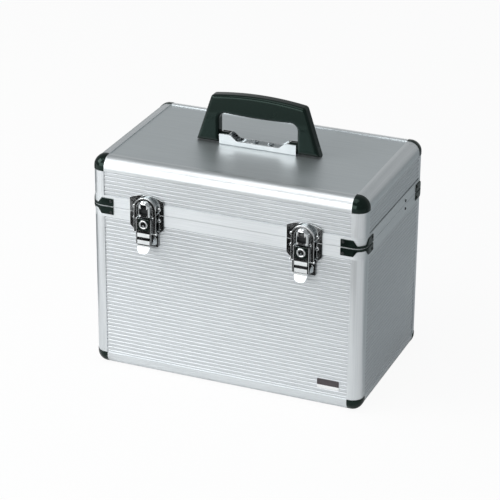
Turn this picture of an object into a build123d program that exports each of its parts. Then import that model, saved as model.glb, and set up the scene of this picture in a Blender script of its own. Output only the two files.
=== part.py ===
# Cosmetic case: an aluminium box with a hinged lid, two key latches and a fold-down carry handle.
# Millimetres, +Z up, +X to the right along the front, front face towards -Y.
# The origin is the centre of the flat underside.

import os

from build123d import *

os.makedirs("parts", exist_ok=True)

# Cutting shapes run this far past what they cut
over = 1.0

# Case: outer faces of the aluminium edges
case_width = 360.0
case_depth = 220.0
case_height = 285.0
split_height = 221.8
rim_gap = 0.4

# Edge extrusions
edge_radius = 14.0
lip_reach = 17.3
lip_thickness = 1.0
inner_lip_thickness = 1.0
profile_wall = 1.2
slot_reach = 15.0
slot_clearance = 0.2

# Ribbed wall boards
board_thickness = 4.5
rib_pitch = 5.0
groove_width = 1.6
groove_depth = 0.5
groove_margin = 2.6
body_groove_drop = 1.3
lid_groove_rise = 0.7

# Rims that close against each other
body_rim_height = 14.6
lid_rim_height = 13.5
rim_slot_depth = 3.0
tongue_offset = 2.4
tongue_thickness = 1.5
tongue_height = 2.2
tongue_clearance = 0.4

# Plastic corner caps
cap_proud = 0.5

# Plastic corner brackets of the rims
bracket_thickness = 1.2
bracket_front_reach = 30.0
bracket_side_reach = 29.0
bracket_height = 10.6
bracket_flat = 16.0
bracket_slope = 5.0
bracket_neck_height = 3.6
bracket_rivet_inset = 3.2

# Rivets, in one row in each rim, below and above the split
body_rivet_drop = 7.6
lid_rivet_rise = 7.4
rivet_radius = 1.5
rivet_head_radius = 2.4
rivet_head_height = 1.2
small_head_radius = 1.9
small_head_height = 0.8
rivet_tail_height = 0.8
rivet_head_round = 0.8
hole_clearance = 0.1
tallest_fitting = 6.0

# Lining
lining_thickness = 1.5
lining_top_gap = 2.0
pad_thickness = 4.0
pocket_margin = 1.0
pocket_clearance = 0.3

# Rear hinges
hinge_inset = 75.0
hinge_length = 52.0
leaf_thickness = 1.2
leaf_height = 12.8
knuckle_radius = 2.4
knuckle_count = 5
knuckle_gap = 0.3
hinge_pin_radius = 1.2
hinge_axis_out = 2.8
hinge_rivet_spread = 18.0
running_clearance = 0.05

# Latches: heights from the split line, and "out" is out of the front face
latch_inset = 76.0
latch_width = 46.0
latch_plate_thickness = 1.2
latch_plate_bottom = -43.8
latch_plate_narrow = 31.0
latch_plate_shoulder = -18.8
latch_plate_taper = 7.0
latch_rivet_offset = 16.5
keeper_corner_top = 18.0
keeper_arch_top = 23.8
keeper_lip_radius = 12.4
keeper_lip_thickness = 1.8
keeper_lip_proud = 5.2

lever_half_width = 10.2
lever_wall = 1.0
lever_face_out = 12.0
lever_back_out = 2.2
lever_top = -3.8
lever_bottom = -37.3
lever_edge_radius = 1.8
lever_slope_drop = 6.5
lever_skirt = 3.0
lever_pivot_out = 6.5
lever_pivot_height = -8.3
lever_pin_radius = 1.1
lever_groove_depth = 0.45
lever_groove_lower = -37.9
lever_groove_upper = -29.5
lever_groove_size = 1.8
tab_tip_height = -48.8
tab_tip_out = 16.0
tab_half_width = 8.4
tab_tip_half_width = 5.4
tab_root_drop = 1.6
tab_thickness = 1.0

lock_height = -11.3
lock_square = 14.4
lock_radius = 4.6
lock_front_out = 12.6
lock_back_out = 7.9
lock_cam_length = 6.6
lock_cam_width = 3.0
lock_cam_thickness = 1.0
bezel_front_out = 12.3
bezel_back_out = 10.6
key_slot_width = 1.0
key_slot_length = 5.0
key_slot_depth = 2.0

ear_inner = 8.0
ear_thickness = 1.0
ear_radius = 3.4
ear_foot_below = 7.0
ear_foot_above = 3.6

claw_pin_radius = 0.9
claw_pivot_out = 6.75
claw_pivot_height = -23.8
claw_eye_radius = 2.4
claw_back_out = 5.5
claw_thickness = 2.5
claw_arm_inner = 10.6
claw_arm_outer = 14.8
claw_arch_height = 7.5
claw_plate_thickness = 1.0
claw_plate_bottom = -1.2
claw_sheet_overlap = 0.5
hood_half_width = 8.0
hood_arch_height = 10.8
hood_front_out = 12.0
hood_wall = 1.0
hood_edge_radius = 4.0
window_half_width = 6.0
window_bottom = 1.4
window_top = 9.4
pin_head_radius = 1.9
pin_head_height = 0.8

# Carry handle
handle_half_foot = 83.0
handle_half_top = 62.5
handle_shoulder = 63.5
handle_crown = 68.4
handle_depth = 17.0
handle_opening_half = 52.5
handle_opening_height = 42.0
handle_opening_radius = 9.0
handle_grip_sag = 2.0
handle_edge_radius = 4.5
handle_corner_radius = 5.5
handle_floor_clearance = 0.6
boss_radius = 5.6
boss_length = 11.8
handle_pin_radius = 2.0
handle_pin_depth = 8.0
handle_pin_head_radius = 3.4
handle_pin_head_length = 1.6

bracket_half_length = 51.4
bracket_half_width = 7.6
bracket_sheet = 1.2
bracket_end_height = 13.8
bracket_middle_height = 6.6
bracket_middle_half = 31.0
bracket_end_start = 38.0
bracket_ear_at = 38.6
bracket_ear_thickness = 1.5

screw_spacing = 24.0
screw_inner_at = 10.0
screw_radius = 2.0
screw_head_radius = 3.6
screw_head_height = 1.8
screw_head_round = 1.0
screw_slot_width = 1.0
screw_slot_depth = 0.8
backing_length = 44.0
backing_width = 13.0
backing_thickness = 1.5
nut_across_flats = 7.0
nut_thickness = 2.2

# Lid stays: a folding pair of arms at each side
stay_at = 42.0
stay_body_drop = 6.2
stay_lid_rise = 4.6
stay_arm_length = 56.0
stay_arm_width = 8.0
stay_arm_thickness = 1.2
stay_wall_gap = 0.4
stay_arm_gap = 0.5
stay_head_radius = 2.8
stay_head_height = 0.8
stay_shoulder_radius = 3.4
stay_head_gap = 0.2

# Bare name-plate blank on the front
plate_inset = 10.7
plate_rise = 9.2
plate_width = 28.5
plate_height = 12.5
plate_thickness = 0.8
plate_corner_radius = 1.0

# Sizes worked out from the values above
half_width = case_width / 2
half_depth = case_depth / 2
shell_depth = lip_thickness + board_thickness + inner_lip_thickness
board_outer = lip_thickness
cap_reach = lip_reach
latch_offset = half_width - latch_inset
hinge_offset = half_width - hinge_inset
body_rivet_height = split_height - body_rivet_drop
lid_rivet_height = split_height + lid_rivet_rise
stay_body_height = split_height - stay_body_drop
stay_lid_height = split_height + stay_lid_rise
board_inner = lip_thickness + board_thickness
body_rim_top = split_height - rim_gap / 2
lid_rim_bottom = split_height + rim_gap / 2
body_rim_bottom = body_rim_top - body_rim_height
lid_rim_top = lid_rim_bottom + lid_rim_height
hinge_axis_y = half_depth + hinge_axis_out
lid_board_top = case_height - board_outer
handle_axis = lid_board_top + handle_floor_clearance + handle_depth / 2


def block(x0, x1, y0, y1, z0, z1):
    """A box between two corners."""
    centre = Pos((x0 + x1) / 2, (y0 + y1) / 2, (z0 + z1) / 2)
    return centre * Box(abs(x1 - x0), abs(y1 - y0), abs(z1 - z0))


def rod(radius, start, direction, length):
    """A cylinder from a start point along an axis."""
    plane = Plane(origin=start, z_dir=direction)
    return extrude(plane * Circle(radius), length)


def outline_face(points):
    """A flat face in the XY plane from its corner points."""
    return make_face(Polyline(*points, close=True))


def prism_x(points, x0, x1):
    """Extrude an outline given as (y, z) points along X."""
    plane = Plane(origin=(x0, 0, 0), x_dir=(0, 1, 0), z_dir=(1, 0, 0))
    return extrude(plane * outline_face(points), x1 - x0)


def prism_y(points, y0, y1):
    """Extrude an outline given as (x, z) points along Y."""
    plane = Plane(origin=(0, y1, 0), x_dir=(1, 0, 0), z_dir=(0, -1, 0))
    return extrude(plane * outline_face(points), y1 - y0)


def save(node, *solids):
    """Write one node, made of one or more separate solids."""
    shape = solids[0] if len(solids) == 1 else Compound(children=list(solids))
    export_step(shape, f"parts/{node}.step")


def mirrored_x(shape):
    return mirror(shape, about=Plane.YZ)


def mirrored_y(shape):
    return mirror(shape, about=Plane.XZ)


def four_ways(shape):
    """A corner's shape copied to all four corners."""
    pair = [shape, mirrored_x(shape)]
    return pair + [mirrored_y(item) for item in pair]


# Rivets are listed once: the same list cuts the holes and places the rivets.
# A place is (side, along, height), where side names the wall and along runs with X or Y.

def wall_point(side, along, height, out):
    """A point at a distance out of a wall's outer face."""
    if side == "front":
        return (along, -half_depth - out, height)
    if side == "rear":
        return (along, half_depth + out, height)
    if side == "right":
        return (half_width + out, along, height)
    return (-half_width - out, along, height)


def inward(side):
    directions = {"front": (0, 1, 0), "rear": (0, -1, 0), "right": (-1, 0, 0), "left": (1, 0, 0)}
    return directions[side]


def rivet_hole(place):
    side, along, height = place
    start = wall_point(side, along, height, tallest_fitting)
    return rod(rivet_radius + hole_clearance, start, inward(side), tallest_fitting + shell_depth + over)


def rivet(place, under_head, head_radius=rivet_head_radius, head_height=rivet_head_height):
    """A domed rivet through a fitting and the rim, with its tail flattened inside."""
    side, along, height = place
    into = inward(side)
    seat = wall_point(side, along, height, under_head)
    outwards = tuple(-value for value in into)
    shank = rod(rivet_radius, seat, into, under_head + shell_depth)
    head = rod(head_radius, seat, outwards, head_height)
    outer_edge = head.edges().filter_by(GeomType.CIRCLE).sort_by(Axis(seat, outwards))[-1:]
    head = fillet(outer_edge, head_height * rivet_head_round)
    tail_start = wall_point(side, along, height, -shell_depth)
    tail = rod(rivet_head_radius, tail_start, into, rivet_tail_height)
    return shank + head + tail


# Outer walls of the case as rounded rectangles

def footprint(offset):
    """The case's plan, drawn in by an offset."""
    return RectangleRounded(case_width - 2 * offset, case_depth - 2 * offset, edge_radius - offset)


def ring(outer_offset, inner_offset, z0, z1):
    band = footprint(outer_offset) - footprint(inner_offset)
    return extrude(Pos(0, 0, z0) * band, z1 - z0)


# Edge extrusion: a quarter-round tube with a slot for each board

def edge_section():
    low = (Align.MIN, Align.MIN)
    section = Rectangle(lip_reach, lip_reach, align=low)
    corner = Pos(edge_radius, edge_radius)
    section -= Rectangle(edge_radius, edge_radius, align=low) - corner * Circle(edge_radius)
    section -= Pos(shell_depth, shell_depth) * Rectangle(lip_reach, lip_reach, align=low)
    section -= Pos(slot_reach, board_outer) * Rectangle(lip_reach, board_thickness, align=low)
    section -= Pos(board_outer, slot_reach) * Rectangle(board_thickness, lip_reach, align=low)
    chamber_reach = slot_reach - profile_wall
    legs = Rectangle(chamber_reach, board_inner, align=low)
    legs += Rectangle(board_inner, chamber_reach, align=low)
    bore = corner * Circle(edge_radius - profile_wall)
    return section - (bore & legs)


def vertical_profile(z0, z1):
    """The edge extrusion standing at the front left corner."""
    place = Pos(-half_width, -half_depth, z0)
    return extrude(place * edge_section(), z1 - z0)


def long_profile(height, up):
    """The extrusion along the front edge; up is the way into the case."""
    plane = Plane(origin=(-half_width + cap_reach, -half_depth, height), x_dir=(0, 1, 0), z_dir=(1, 0, 0))
    bar = extrude(plane * edge_section(), case_width - 2 * cap_reach)
    if up < 0:
        flat = Plane(origin=(0, 0, height), z_dir=(0, 0, 1))
        bar = mirror(bar, about=flat)
    return bar


def short_profile(height, up):
    """The extrusion along the left edge; up is the way into the case."""
    plane = Plane(origin=(-half_width, half_depth - cap_reach, height), x_dir=(1, 0, 0), z_dir=(0, -1, 0))
    bar = extrude(plane * edge_section(), case_depth - 2 * cap_reach)
    if up < 0:
        flat = Plane(origin=(0, 0, height), z_dir=(0, 0, 1))
        bar = mirror(bar, about=flat)
    return bar


save("body_corner_profiles", *four_ways(vertical_profile(cap_reach, body_rim_bottom)))
save("lid_corner_profiles", *four_ways(vertical_profile(lid_rim_top, case_height - cap_reach)))
bottom_long = long_profile(0, 1)
bottom_short = short_profile(0, 1)
top_long = long_profile(case_height, -1)
top_short = short_profile(case_height, -1)
save("bottom_long_profiles", bottom_long, mirrored_y(bottom_long))
save("bottom_side_profiles", bottom_short, mirrored_x(bottom_short))
save("top_long_profiles", top_long, mirrored_y(top_long))
save("top_side_profiles", top_short, mirrored_x(top_short))


# Ribbed boards: the outer skin has horizontal grooves at the rib pitch

def ribbed_section(z0, z1, groove_from, step):
    """Outline (depth, z) of a board; depth 0 is its outer face."""
    outer = []
    height = groove_from
    heights = []
    while z0 + groove_margin < height < z1 - groove_margin:
        heights.append(height)
        height += step
    for centre in sorted(heights):
        outer.append((0, centre - groove_width / 2))
        outer.append((groove_depth, centre))
        outer.append((0, centre + groove_width / 2))
    return [(board_thickness, z0), (0, z0)] + outer + [(0, z1), (board_thickness, z1)]


def long_board(section):
    reach = half_width - slot_reach - slot_clearance
    points = [(-half_depth + board_outer + depth, z) for depth, z in section]
    return prism_x(points, -reach, reach)


def short_board(section):
    reach = half_depth - slot_reach - slot_clearance
    points = [(-half_width + board_outer + depth, z) for depth, z in section]
    return prism_y(points, -reach, reach)


board_low = slot_reach + slot_clearance
body_board_top = body_rim_bottom + rim_slot_depth - slot_clearance
lid_board_bottom = lid_rim_top - rim_slot_depth + slot_clearance
lid_wall_top = case_height - slot_reach - slot_clearance
first_body_groove = body_rim_bottom - body_groove_drop
first_lid_groove = lid_rim_top + lid_groove_rise
body_section = ribbed_section(board_low, body_board_top, first_body_groove, -rib_pitch)
lid_section = ribbed_section(lid_board_bottom, lid_wall_top, first_lid_groove, rib_pitch)
body_front = long_board(body_section)
body_left = short_board(body_section)
lid_front = long_board(lid_section)
lid_left = short_board(lid_section)

flat_x = half_width - slot_reach - slot_clearance
flat_y = half_depth - slot_reach - slot_clearance
base_x = half_width - lip_reach - slot_clearance
base_y = half_depth - lip_reach - slot_clearance
base_board = block(-flat_x, flat_x, -flat_y, flat_y, board_outer, board_inner)
base_board += block(-base_x, base_x, -base_y, base_y, 0, board_outer)
screw_outer_at = screw_inner_at + screw_spacing
screw_places = (-screw_outer_at, -screw_inner_at, screw_inner_at, screw_outer_at)


def screw_hole(x, z0, z1):
    """The hole of a handle screw through what lies between two heights."""
    return rod(screw_radius + hole_clearance, (x, 0, z0 - over), (0, 0, 1), z1 - z0 + 2 * over)


top_board = block(-flat_x, flat_x, -flat_y, flat_y, lid_board_top - board_thickness, lid_board_top)
for x in screw_places:
    top_board -= screw_hole(x, lid_board_top - board_thickness, lid_board_top)

save("body_front_panel", body_front)
save("body_rear_panel", mirrored_y(body_front))
save("body_left_panel", body_left)
save("body_right_panel", mirrored_x(body_left))
save("base_panel", base_board)
save("lid_front_panel", lid_front)
save("lid_rear_panel", mirrored_y(lid_front))
save("lid_left_panel", lid_left)
save("lid_right_panel", mirrored_x(lid_left))
save("lid_top_panel", top_board)


# Rivet places

latch_places = {"left": -latch_offset, "right": latch_offset}
latch_body_rivets = [("front", x + side * latch_rivet_offset, body_rivet_height)
                     for x in latch_places.values() for side in (-1, 1)]
latch_lid_rivets = [("front", x + side * latch_rivet_offset, lid_rivet_height)
                    for x in latch_places.values() for side in (-1, 1)]
bracket_x = half_width - bracket_front_reach + bracket_rivet_inset
bracket_y = half_depth - bracket_side_reach + bracket_rivet_inset


def bracket_places(height):
    places = [(side, sign * bracket_x, height) for side in ("front", "rear") for sign in (-1, 1)]
    places += [(side, sign * bracket_y, height) for side in ("left", "right") for sign in (-1, 1)]
    return places


def hinge_places(height):
    return [("rear", sign * hinge_offset + spread, height)
            for sign in (-1, 1) for spread in (-hinge_rivet_spread, hinge_rivet_spread)]


stay_body_places = [(side, stay_at, stay_body_height) for side in ("left", "right")]
stay_lid_places = [(side, stay_at, stay_lid_height) for side in ("left", "right")]


# Rims: bent extrusions that hold the boards' edges; the body's tongue enters the lid's groove

tongue_end = half_depth - edge_radius
body_rim = ring(0, shell_depth, body_rim_bottom, body_rim_top)
body_rim -= ring(board_outer, board_inner, body_rim_bottom, body_rim_bottom + rim_slot_depth)
tongue = ring(tongue_offset, tongue_offset + tongue_thickness, body_rim_top, body_rim_top + tongue_height)
tongue -= block(-half_width, half_width, tongue_end, half_depth, body_rim_top, body_rim_top + tongue_height)
body_rim += tongue
for place in (latch_body_rivets + bracket_places(body_rivet_height) + hinge_places(body_rivet_height)
              + stay_body_places):
    body_rim -= rivet_hole(place)
save("body_rim", body_rim)

groove_top = lid_rim_bottom + tongue_height + tongue_clearance - rim_gap
lid_rim = ring(0, shell_depth, lid_rim_bottom, lid_rim_top)
lid_rim -= ring(board_outer, board_inner, lid_rim_top - rim_slot_depth, lid_rim_top)
lid_rim -= ring(tongue_offset - tongue_clearance, tongue_offset + tongue_thickness + tongue_clearance,
                lid_rim_bottom, groove_top)
for place in (latch_lid_rivets + bracket_places(lid_rivet_height) + hinge_places(lid_rivet_height)
              + stay_lid_places):
    lid_rim -= rivet_hole(place)
save("lid_rim", lid_rim)


# Corner caps: moulded corners that hold the ends of three extrusions

def rounded_case(proud):
    """The whole outer form, standing on z = 0 and proud of the edges elsewhere."""
    size = (case_width + 2 * proud, case_depth + 2 * proud, case_height + proud)
    body = Pos(0, 0, size[2] / 2) * Box(*size)
    return fillet(body.edges(), edge_radius + proud)


outer_form = rounded_case(cap_proud)
inside = block(-half_width + shell_depth, half_width - shell_depth,
               -half_depth + shell_depth, half_depth - shell_depth, shell_depth, case_height - shell_depth)
board_room_front = block(-flat_x, flat_x, -half_depth + board_outer, -half_depth + board_inner,
                         board_low, lid_wall_top)
board_room_left = block(-half_width + board_outer, -half_width + board_inner, -flat_y, flat_y,
                        board_low, lid_wall_top)
board_room_base = block(-flat_x, flat_x, -flat_y, flat_y, 0, board_inner)
board_room_top = block(-flat_x, flat_x, -flat_y, flat_y, case_height - board_inner, lid_board_top)


def corner_cap(z0, z1, flat_room):
    room = block(-half_width - over, -half_width + cap_reach, -half_depth - over, -half_depth + cap_reach,
                 z0, z1)
    cap = outer_form & room
    return cap - inside - board_room_front - board_room_left - flat_room


save("bottom_corner_caps", *four_ways(corner_cap(0, cap_reach, board_room_base)))
top_room = case_height + cap_proud + over
save("top_corner_caps", *four_ways(corner_cap(case_height - cap_reach, top_room, board_room_top)))


# Corner brackets of the rims: a thin plastic shell round each corner, in a lid and a body half

def rim_bracket(edge, sign):
    """One half at the front left corner; sign is +1 for the lid's half, -1 for the body's."""
    neck = edge + sign * bracket_neck_height
    far = edge + sign * bracket_height
    band = footprint(-bracket_thickness) - footprint(0)
    low = min(edge, far)
    shell = extrude(Pos(0, 0, low) * band, abs(far - edge))

    past = bracket_thickness + over

    def plate(reach, half):
        inner = -half + reach
        return [(inner, edge), (inner, far), (inner - bracket_flat, far),
                (inner - bracket_flat - bracket_slope, neck), (-half - past, neck), (-half - past, edge)]

    front = prism_y(plate(bracket_front_reach, half_width), -half_depth - past, -half_depth + edge_radius)
    side = prism_x(plate(bracket_side_reach, half_depth), -half_width - past, -half_width + edge_radius)
    return shell & (front + side)


def front_left(place):
    side, along, _ = place
    return (side == "front" or side == "left") and along < 0


body_bracket = rim_bracket(body_rim_top, -1)
lid_bracket = rim_bracket(lid_rim_bottom, 1)
for place in filter(front_left, bracket_places(body_rivet_height)):
    body_bracket -= rivet_hole(place)
for place in filter(front_left, bracket_places(lid_rivet_height)):
    lid_bracket -= rivet_hole(place)
save("body_rim_brackets", *four_ways(body_bracket))
save("lid_rim_brackets", *four_ways(lid_bracket))


def bracket_rivets(height):
    return [rivet(place, bracket_thickness, small_head_radius, small_head_height)
            for place in bracket_places(height)]


save("body_bracket_rivets", *bracket_rivets(body_rivet_height))
save("lid_bracket_rivets", *bracket_rivets(lid_rivet_height))


# Lining: sheets glued inside, and a padded sheet under the lid's top

def wall_lining(z0, z1):
    inner = lining_thickness
    x = half_width - shell_depth
    y = half_depth - shell_depth
    front = block(-x, x, -y, -y + inner, z0, z1)
    left = block(-x, -x + inner, -y + inner, y - inner, z0, z1)
    return [front, mirrored_y(front), left, mirrored_x(left)]


lining_x = half_width - shell_depth
lining_y = half_depth - shell_depth
floor_sheet = block(-lining_x, lining_x, -lining_y, lining_y, shell_depth, shell_depth + lining_thickness)
body_sheets = wall_lining(shell_depth + lining_thickness, body_rim_bottom - lining_top_gap)
save("body_lining", floor_sheet, *body_sheets)
lid_ceiling = case_height - shell_depth
save("lid_wall_lining", *wall_lining(lid_rim_top + lining_top_gap, lid_ceiling))

backing_top = lid_board_top - board_thickness
backing_bottom = backing_top - backing_thickness
nut_bottom = backing_bottom - nut_thickness
pad_x = lining_x - lining_thickness
pad_y = lining_y - lining_thickness
backing_centre = screw_inner_at + screw_spacing / 2
pocket_half = backing_length / 2 + pocket_margin
pocket_side = backing_width / 2 + pocket_margin
lid_pad = block(-pad_x, pad_x, -pad_y, pad_y, lid_ceiling - pad_thickness, lid_ceiling)
for sign in (-1, 1):
    lid_pad -= block(sign * backing_centre - pocket_half, sign * backing_centre + pocket_half,
                     -pocket_side, pocket_side, nut_bottom - pocket_clearance, lid_ceiling)
save("lid_pad", lid_pad)


# Rear hinges

knuckle_pitch = hinge_length / knuckle_count


def hinge_leaf(centre, sign, mine):
    """A leaf with knuckles; sign is +1 for the lid's leaf; mine tests a knuckle's number."""
    x0 = centre - hinge_length / 2
    near = split_height + sign * (knuckle_radius + knuckle_gap)
    far = split_height + sign * (rim_gap / 2 + leaf_height)
    leaf = block(x0, x0 + hinge_length, half_depth, half_depth + leaf_thickness, near, far)
    for number in range(knuckle_count):
        if not mine(number):
            continue
        start = x0 + number * knuckle_pitch + knuckle_gap / 2
        length = knuckle_pitch - knuckle_gap
        leaf += rod(knuckle_radius, (start, hinge_axis_y, split_height), (1, 0, 0), length)
        leaf += block(start, start + length, half_depth + knuckle_gap, half_depth + leaf_thickness,
                      split_height, near)
    bore_start = (x0 - over, hinge_axis_y, split_height)
    leaf -= rod(hinge_pin_radius + running_clearance, bore_start, (1, 0, 0), hinge_length + 2 * over)
    return leaf


def is_even(number):
    return number % 2 == 0


def is_odd(number):
    return number % 2 == 1


hinge_pins = []
body_leaves = []
lid_leaves = []
for centre in (-hinge_offset, hinge_offset):
    body_leaf = hinge_leaf(centre, -1, is_even)
    lid_leaf = hinge_leaf(centre, 1, is_odd)
    for place in hinge_places(body_rivet_height):
        body_leaf -= rivet_hole(place)
    for place in hinge_places(lid_rivet_height):
        lid_leaf -= rivet_hole(place)
    body_leaves.append(body_leaf)
    lid_leaves.append(lid_leaf)
    pin_start = (centre - hinge_length / 2, hinge_axis_y, split_height)
    hinge_pins.append(rod(hinge_pin_radius, pin_start, (1, 0, 0), hinge_length))
save("hinge_body_leaves", *body_leaves)
save("hinge_lid_leaves", *lid_leaves)
save("hinge_pins", *hinge_pins)
hinge_body_rivets = [rivet(place, leaf_thickness) for place in hinge_places(body_rivet_height)]
hinge_lid_rivets = [rivet(place, leaf_thickness) for place in hinge_places(lid_rivet_height)]


# Latches. Each is drawn at x = 0 with the split line at z = 0, and moved to its place.
# Its side outlines are (w, z) points, w out of the front face.

def side_prism(points, x0, x1):
    """Extrude an outline given as (w, z) points along X."""
    return prism_x([(-half_depth - w, z) for w, z in points], x0, x1)


def front_prism(face_points, w0, w1):
    """Extrude an outline given as (x, z) points out of the front face."""
    return prism_y(face_points, -half_depth - w1, -half_depth - w0)


def front_disc(radius, x, z, w0, w1):
    return rod(radius, (x, -half_depth - w0, z), (0, -1, 0), w1 - w0)


def pin_across(radius, w, z, half_length):
    return rod(radius, (-half_length, -half_depth - w, z), (1, 0, 0), 2 * half_length)


def headed_pin(radius, w, z, half_length):
    pin = pin_across(radius, w, z, half_length)
    for sign in (-1, 1):
        pin += rod(pin_head_radius, (sign * half_length, -half_depth - w, z), (sign, 0, 0), pin_head_height)
    return pin


def arch_outline(half, low, corner, top):
    """A plate outline with a straight foot and an arched top."""
    rise = top - corner
    arch = ThreePointArc((half, corner), (0, corner + rise), (-half, corner))
    foot = Polyline((-half, corner), (-half, low), (half, low), (half, corner))
    return make_face(Curve() + [arch, foot])


def front_face(face, w0, w1):
    """Extrude a face drawn in (x, z) out of the front face."""
    plane = Plane(origin=(0, -half_depth - w0, 0), x_dir=(1, 0, 0), z_dir=(0, -1, 0))
    return extrude(plane * face, w1 - w0)


def latch_base_plate():
    half = latch_width / 2
    narrow = latch_plate_narrow / 2
    waist = latch_plate_shoulder - latch_plate_taper
    top = -rim_gap / 2
    points = [(-half, top), (half, top), (half, latch_plate_shoulder), (narrow, waist),
              (narrow, latch_plate_bottom), (-narrow, latch_plate_bottom), (-narrow, waist),
              (-half, latch_plate_shoulder)]
    plate = front_prism(points, 0, latch_plate_thickness)
    ear_outline = [(latch_plate_thickness, lever_pivot_height - ear_foot_below),
                   (lever_pivot_out, lever_pivot_height - ear_radius),
                   (lever_pivot_out, lever_pivot_height + ear_radius),
                   (latch_plate_thickness, lever_pivot_height + ear_foot_above)]
    ear = side_prism(ear_outline, ear_inner, ear_inner + ear_thickness)
    ear_centre = (ear_inner, -half_depth - lever_pivot_out, lever_pivot_height)
    ear += rod(ear_radius, ear_centre, (1, 0, 0), ear_thickness)
    plate += ear + mirrored_x(ear)
    plate -= pin_across(lever_pin_radius + running_clearance, lever_pivot_out, lever_pivot_height, half)
    return plate


def latch_keeper():
    half = latch_width / 2
    outline = arch_outline(half, rim_gap / 2, keeper_corner_top, keeper_arch_top)
    plate = front_face(outline, 0, latch_plate_thickness)
    lip = front_disc(keeper_lip_radius, 0, claw_arch_height, 0, keeper_lip_proud)
    lip -= front_disc(keeper_lip_radius - keeper_lip_thickness, 0, claw_arch_height, 0, keeper_lip_proud)
    lip &= front_prism([(-half, claw_arch_height), (half, claw_arch_height), (half, keeper_arch_top),
                        (-half, keeper_arch_top)], 0, keeper_lip_proud)
    return plate + lip


def latch_lever():
    """A bent channel with its face outwards, and a flared finger tab below."""
    back = lever_pivot_out - lever_back_out
    slope_top = lever_pivot_height - lever_slope_drop
    side = Polyline((-lever_pivot_out, lever_pivot_height + back), (-lever_face_out, lever_top),
                    (-lever_face_out, lever_bottom), (-lever_face_out + lever_skirt, lever_bottom),
                    (-lever_back_out, slope_top), (-lever_back_out, lever_pivot_height))
    heel = back / 2 ** 0.5
    round_back = ThreePointArc((-lever_back_out, lever_pivot_height),
                               (-lever_pivot_out + heel, lever_pivot_height + heel),
                               (-lever_pivot_out, lever_pivot_height + back))
    profile = make_face(Curve() + [side, round_back])
    plane = Plane(origin=(-lever_half_width, -half_depth, 0), x_dir=(0, 1, 0), z_dir=(1, 0, 0))
    lever = extrude(plane * profile, 2 * lever_half_width)
    front_line = -half_depth - lever_face_out
    edges = [edge for edge in lever.edges().filter_by(Axis.Z)
             if abs(edge.center().Y - front_line) < 0.01]
    lever = fillet(edges, lever_edge_radius)
    inner = lever_half_width - lever_wall
    lever -= block(-inner, inner, front_line + lever_wall, -half_depth, lever_bottom - over,
                   lever_top + over)
    tab_root = lever_bottom - tab_root_drop
    tab = side_prism([(lever_face_out, lever_bottom + lever_wall), (lever_face_out, tab_root),
                      (tab_tip_out, tab_tip_height), (tab_tip_out - tab_thickness, tab_tip_height),
                      (lever_face_out - lever_wall, tab_root),
                      (lever_face_out - lever_wall, lever_bottom + lever_wall)],
                     -tab_half_width, tab_half_width)
    taper = [(-tab_half_width, lever_bottom + lever_wall), (tab_half_width, lever_bottom + lever_wall),
             (tab_half_width, tab_root), (tab_tip_half_width, tab_tip_height),
             (-tab_tip_half_width, tab_tip_height), (-tab_half_width, tab_root)]
    tab &= front_prism(taper, 0, tab_tip_out + over)
    lever += tab
    square = lock_square / 2 + hole_clearance
    lever -= block(-square, square, front_line - over, front_line + lever_wall + over, lock_height - square,
                   lock_height + square)
    for height in (lever_groove_lower, lever_groove_upper):
        lever -= block(-tab_half_width, tab_half_width, front_line - over, front_line + lever_groove_depth,
                       height - lever_groove_size / 2, height + lever_groove_size / 2)
    bore = lever_pin_radius + running_clearance
    lever -= pin_across(bore, lever_pivot_out, lever_pivot_height, latch_width)
    lever -= pin_across(claw_pin_radius + running_clearance, claw_pivot_out, claw_pivot_height, latch_width)
    return lever


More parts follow.
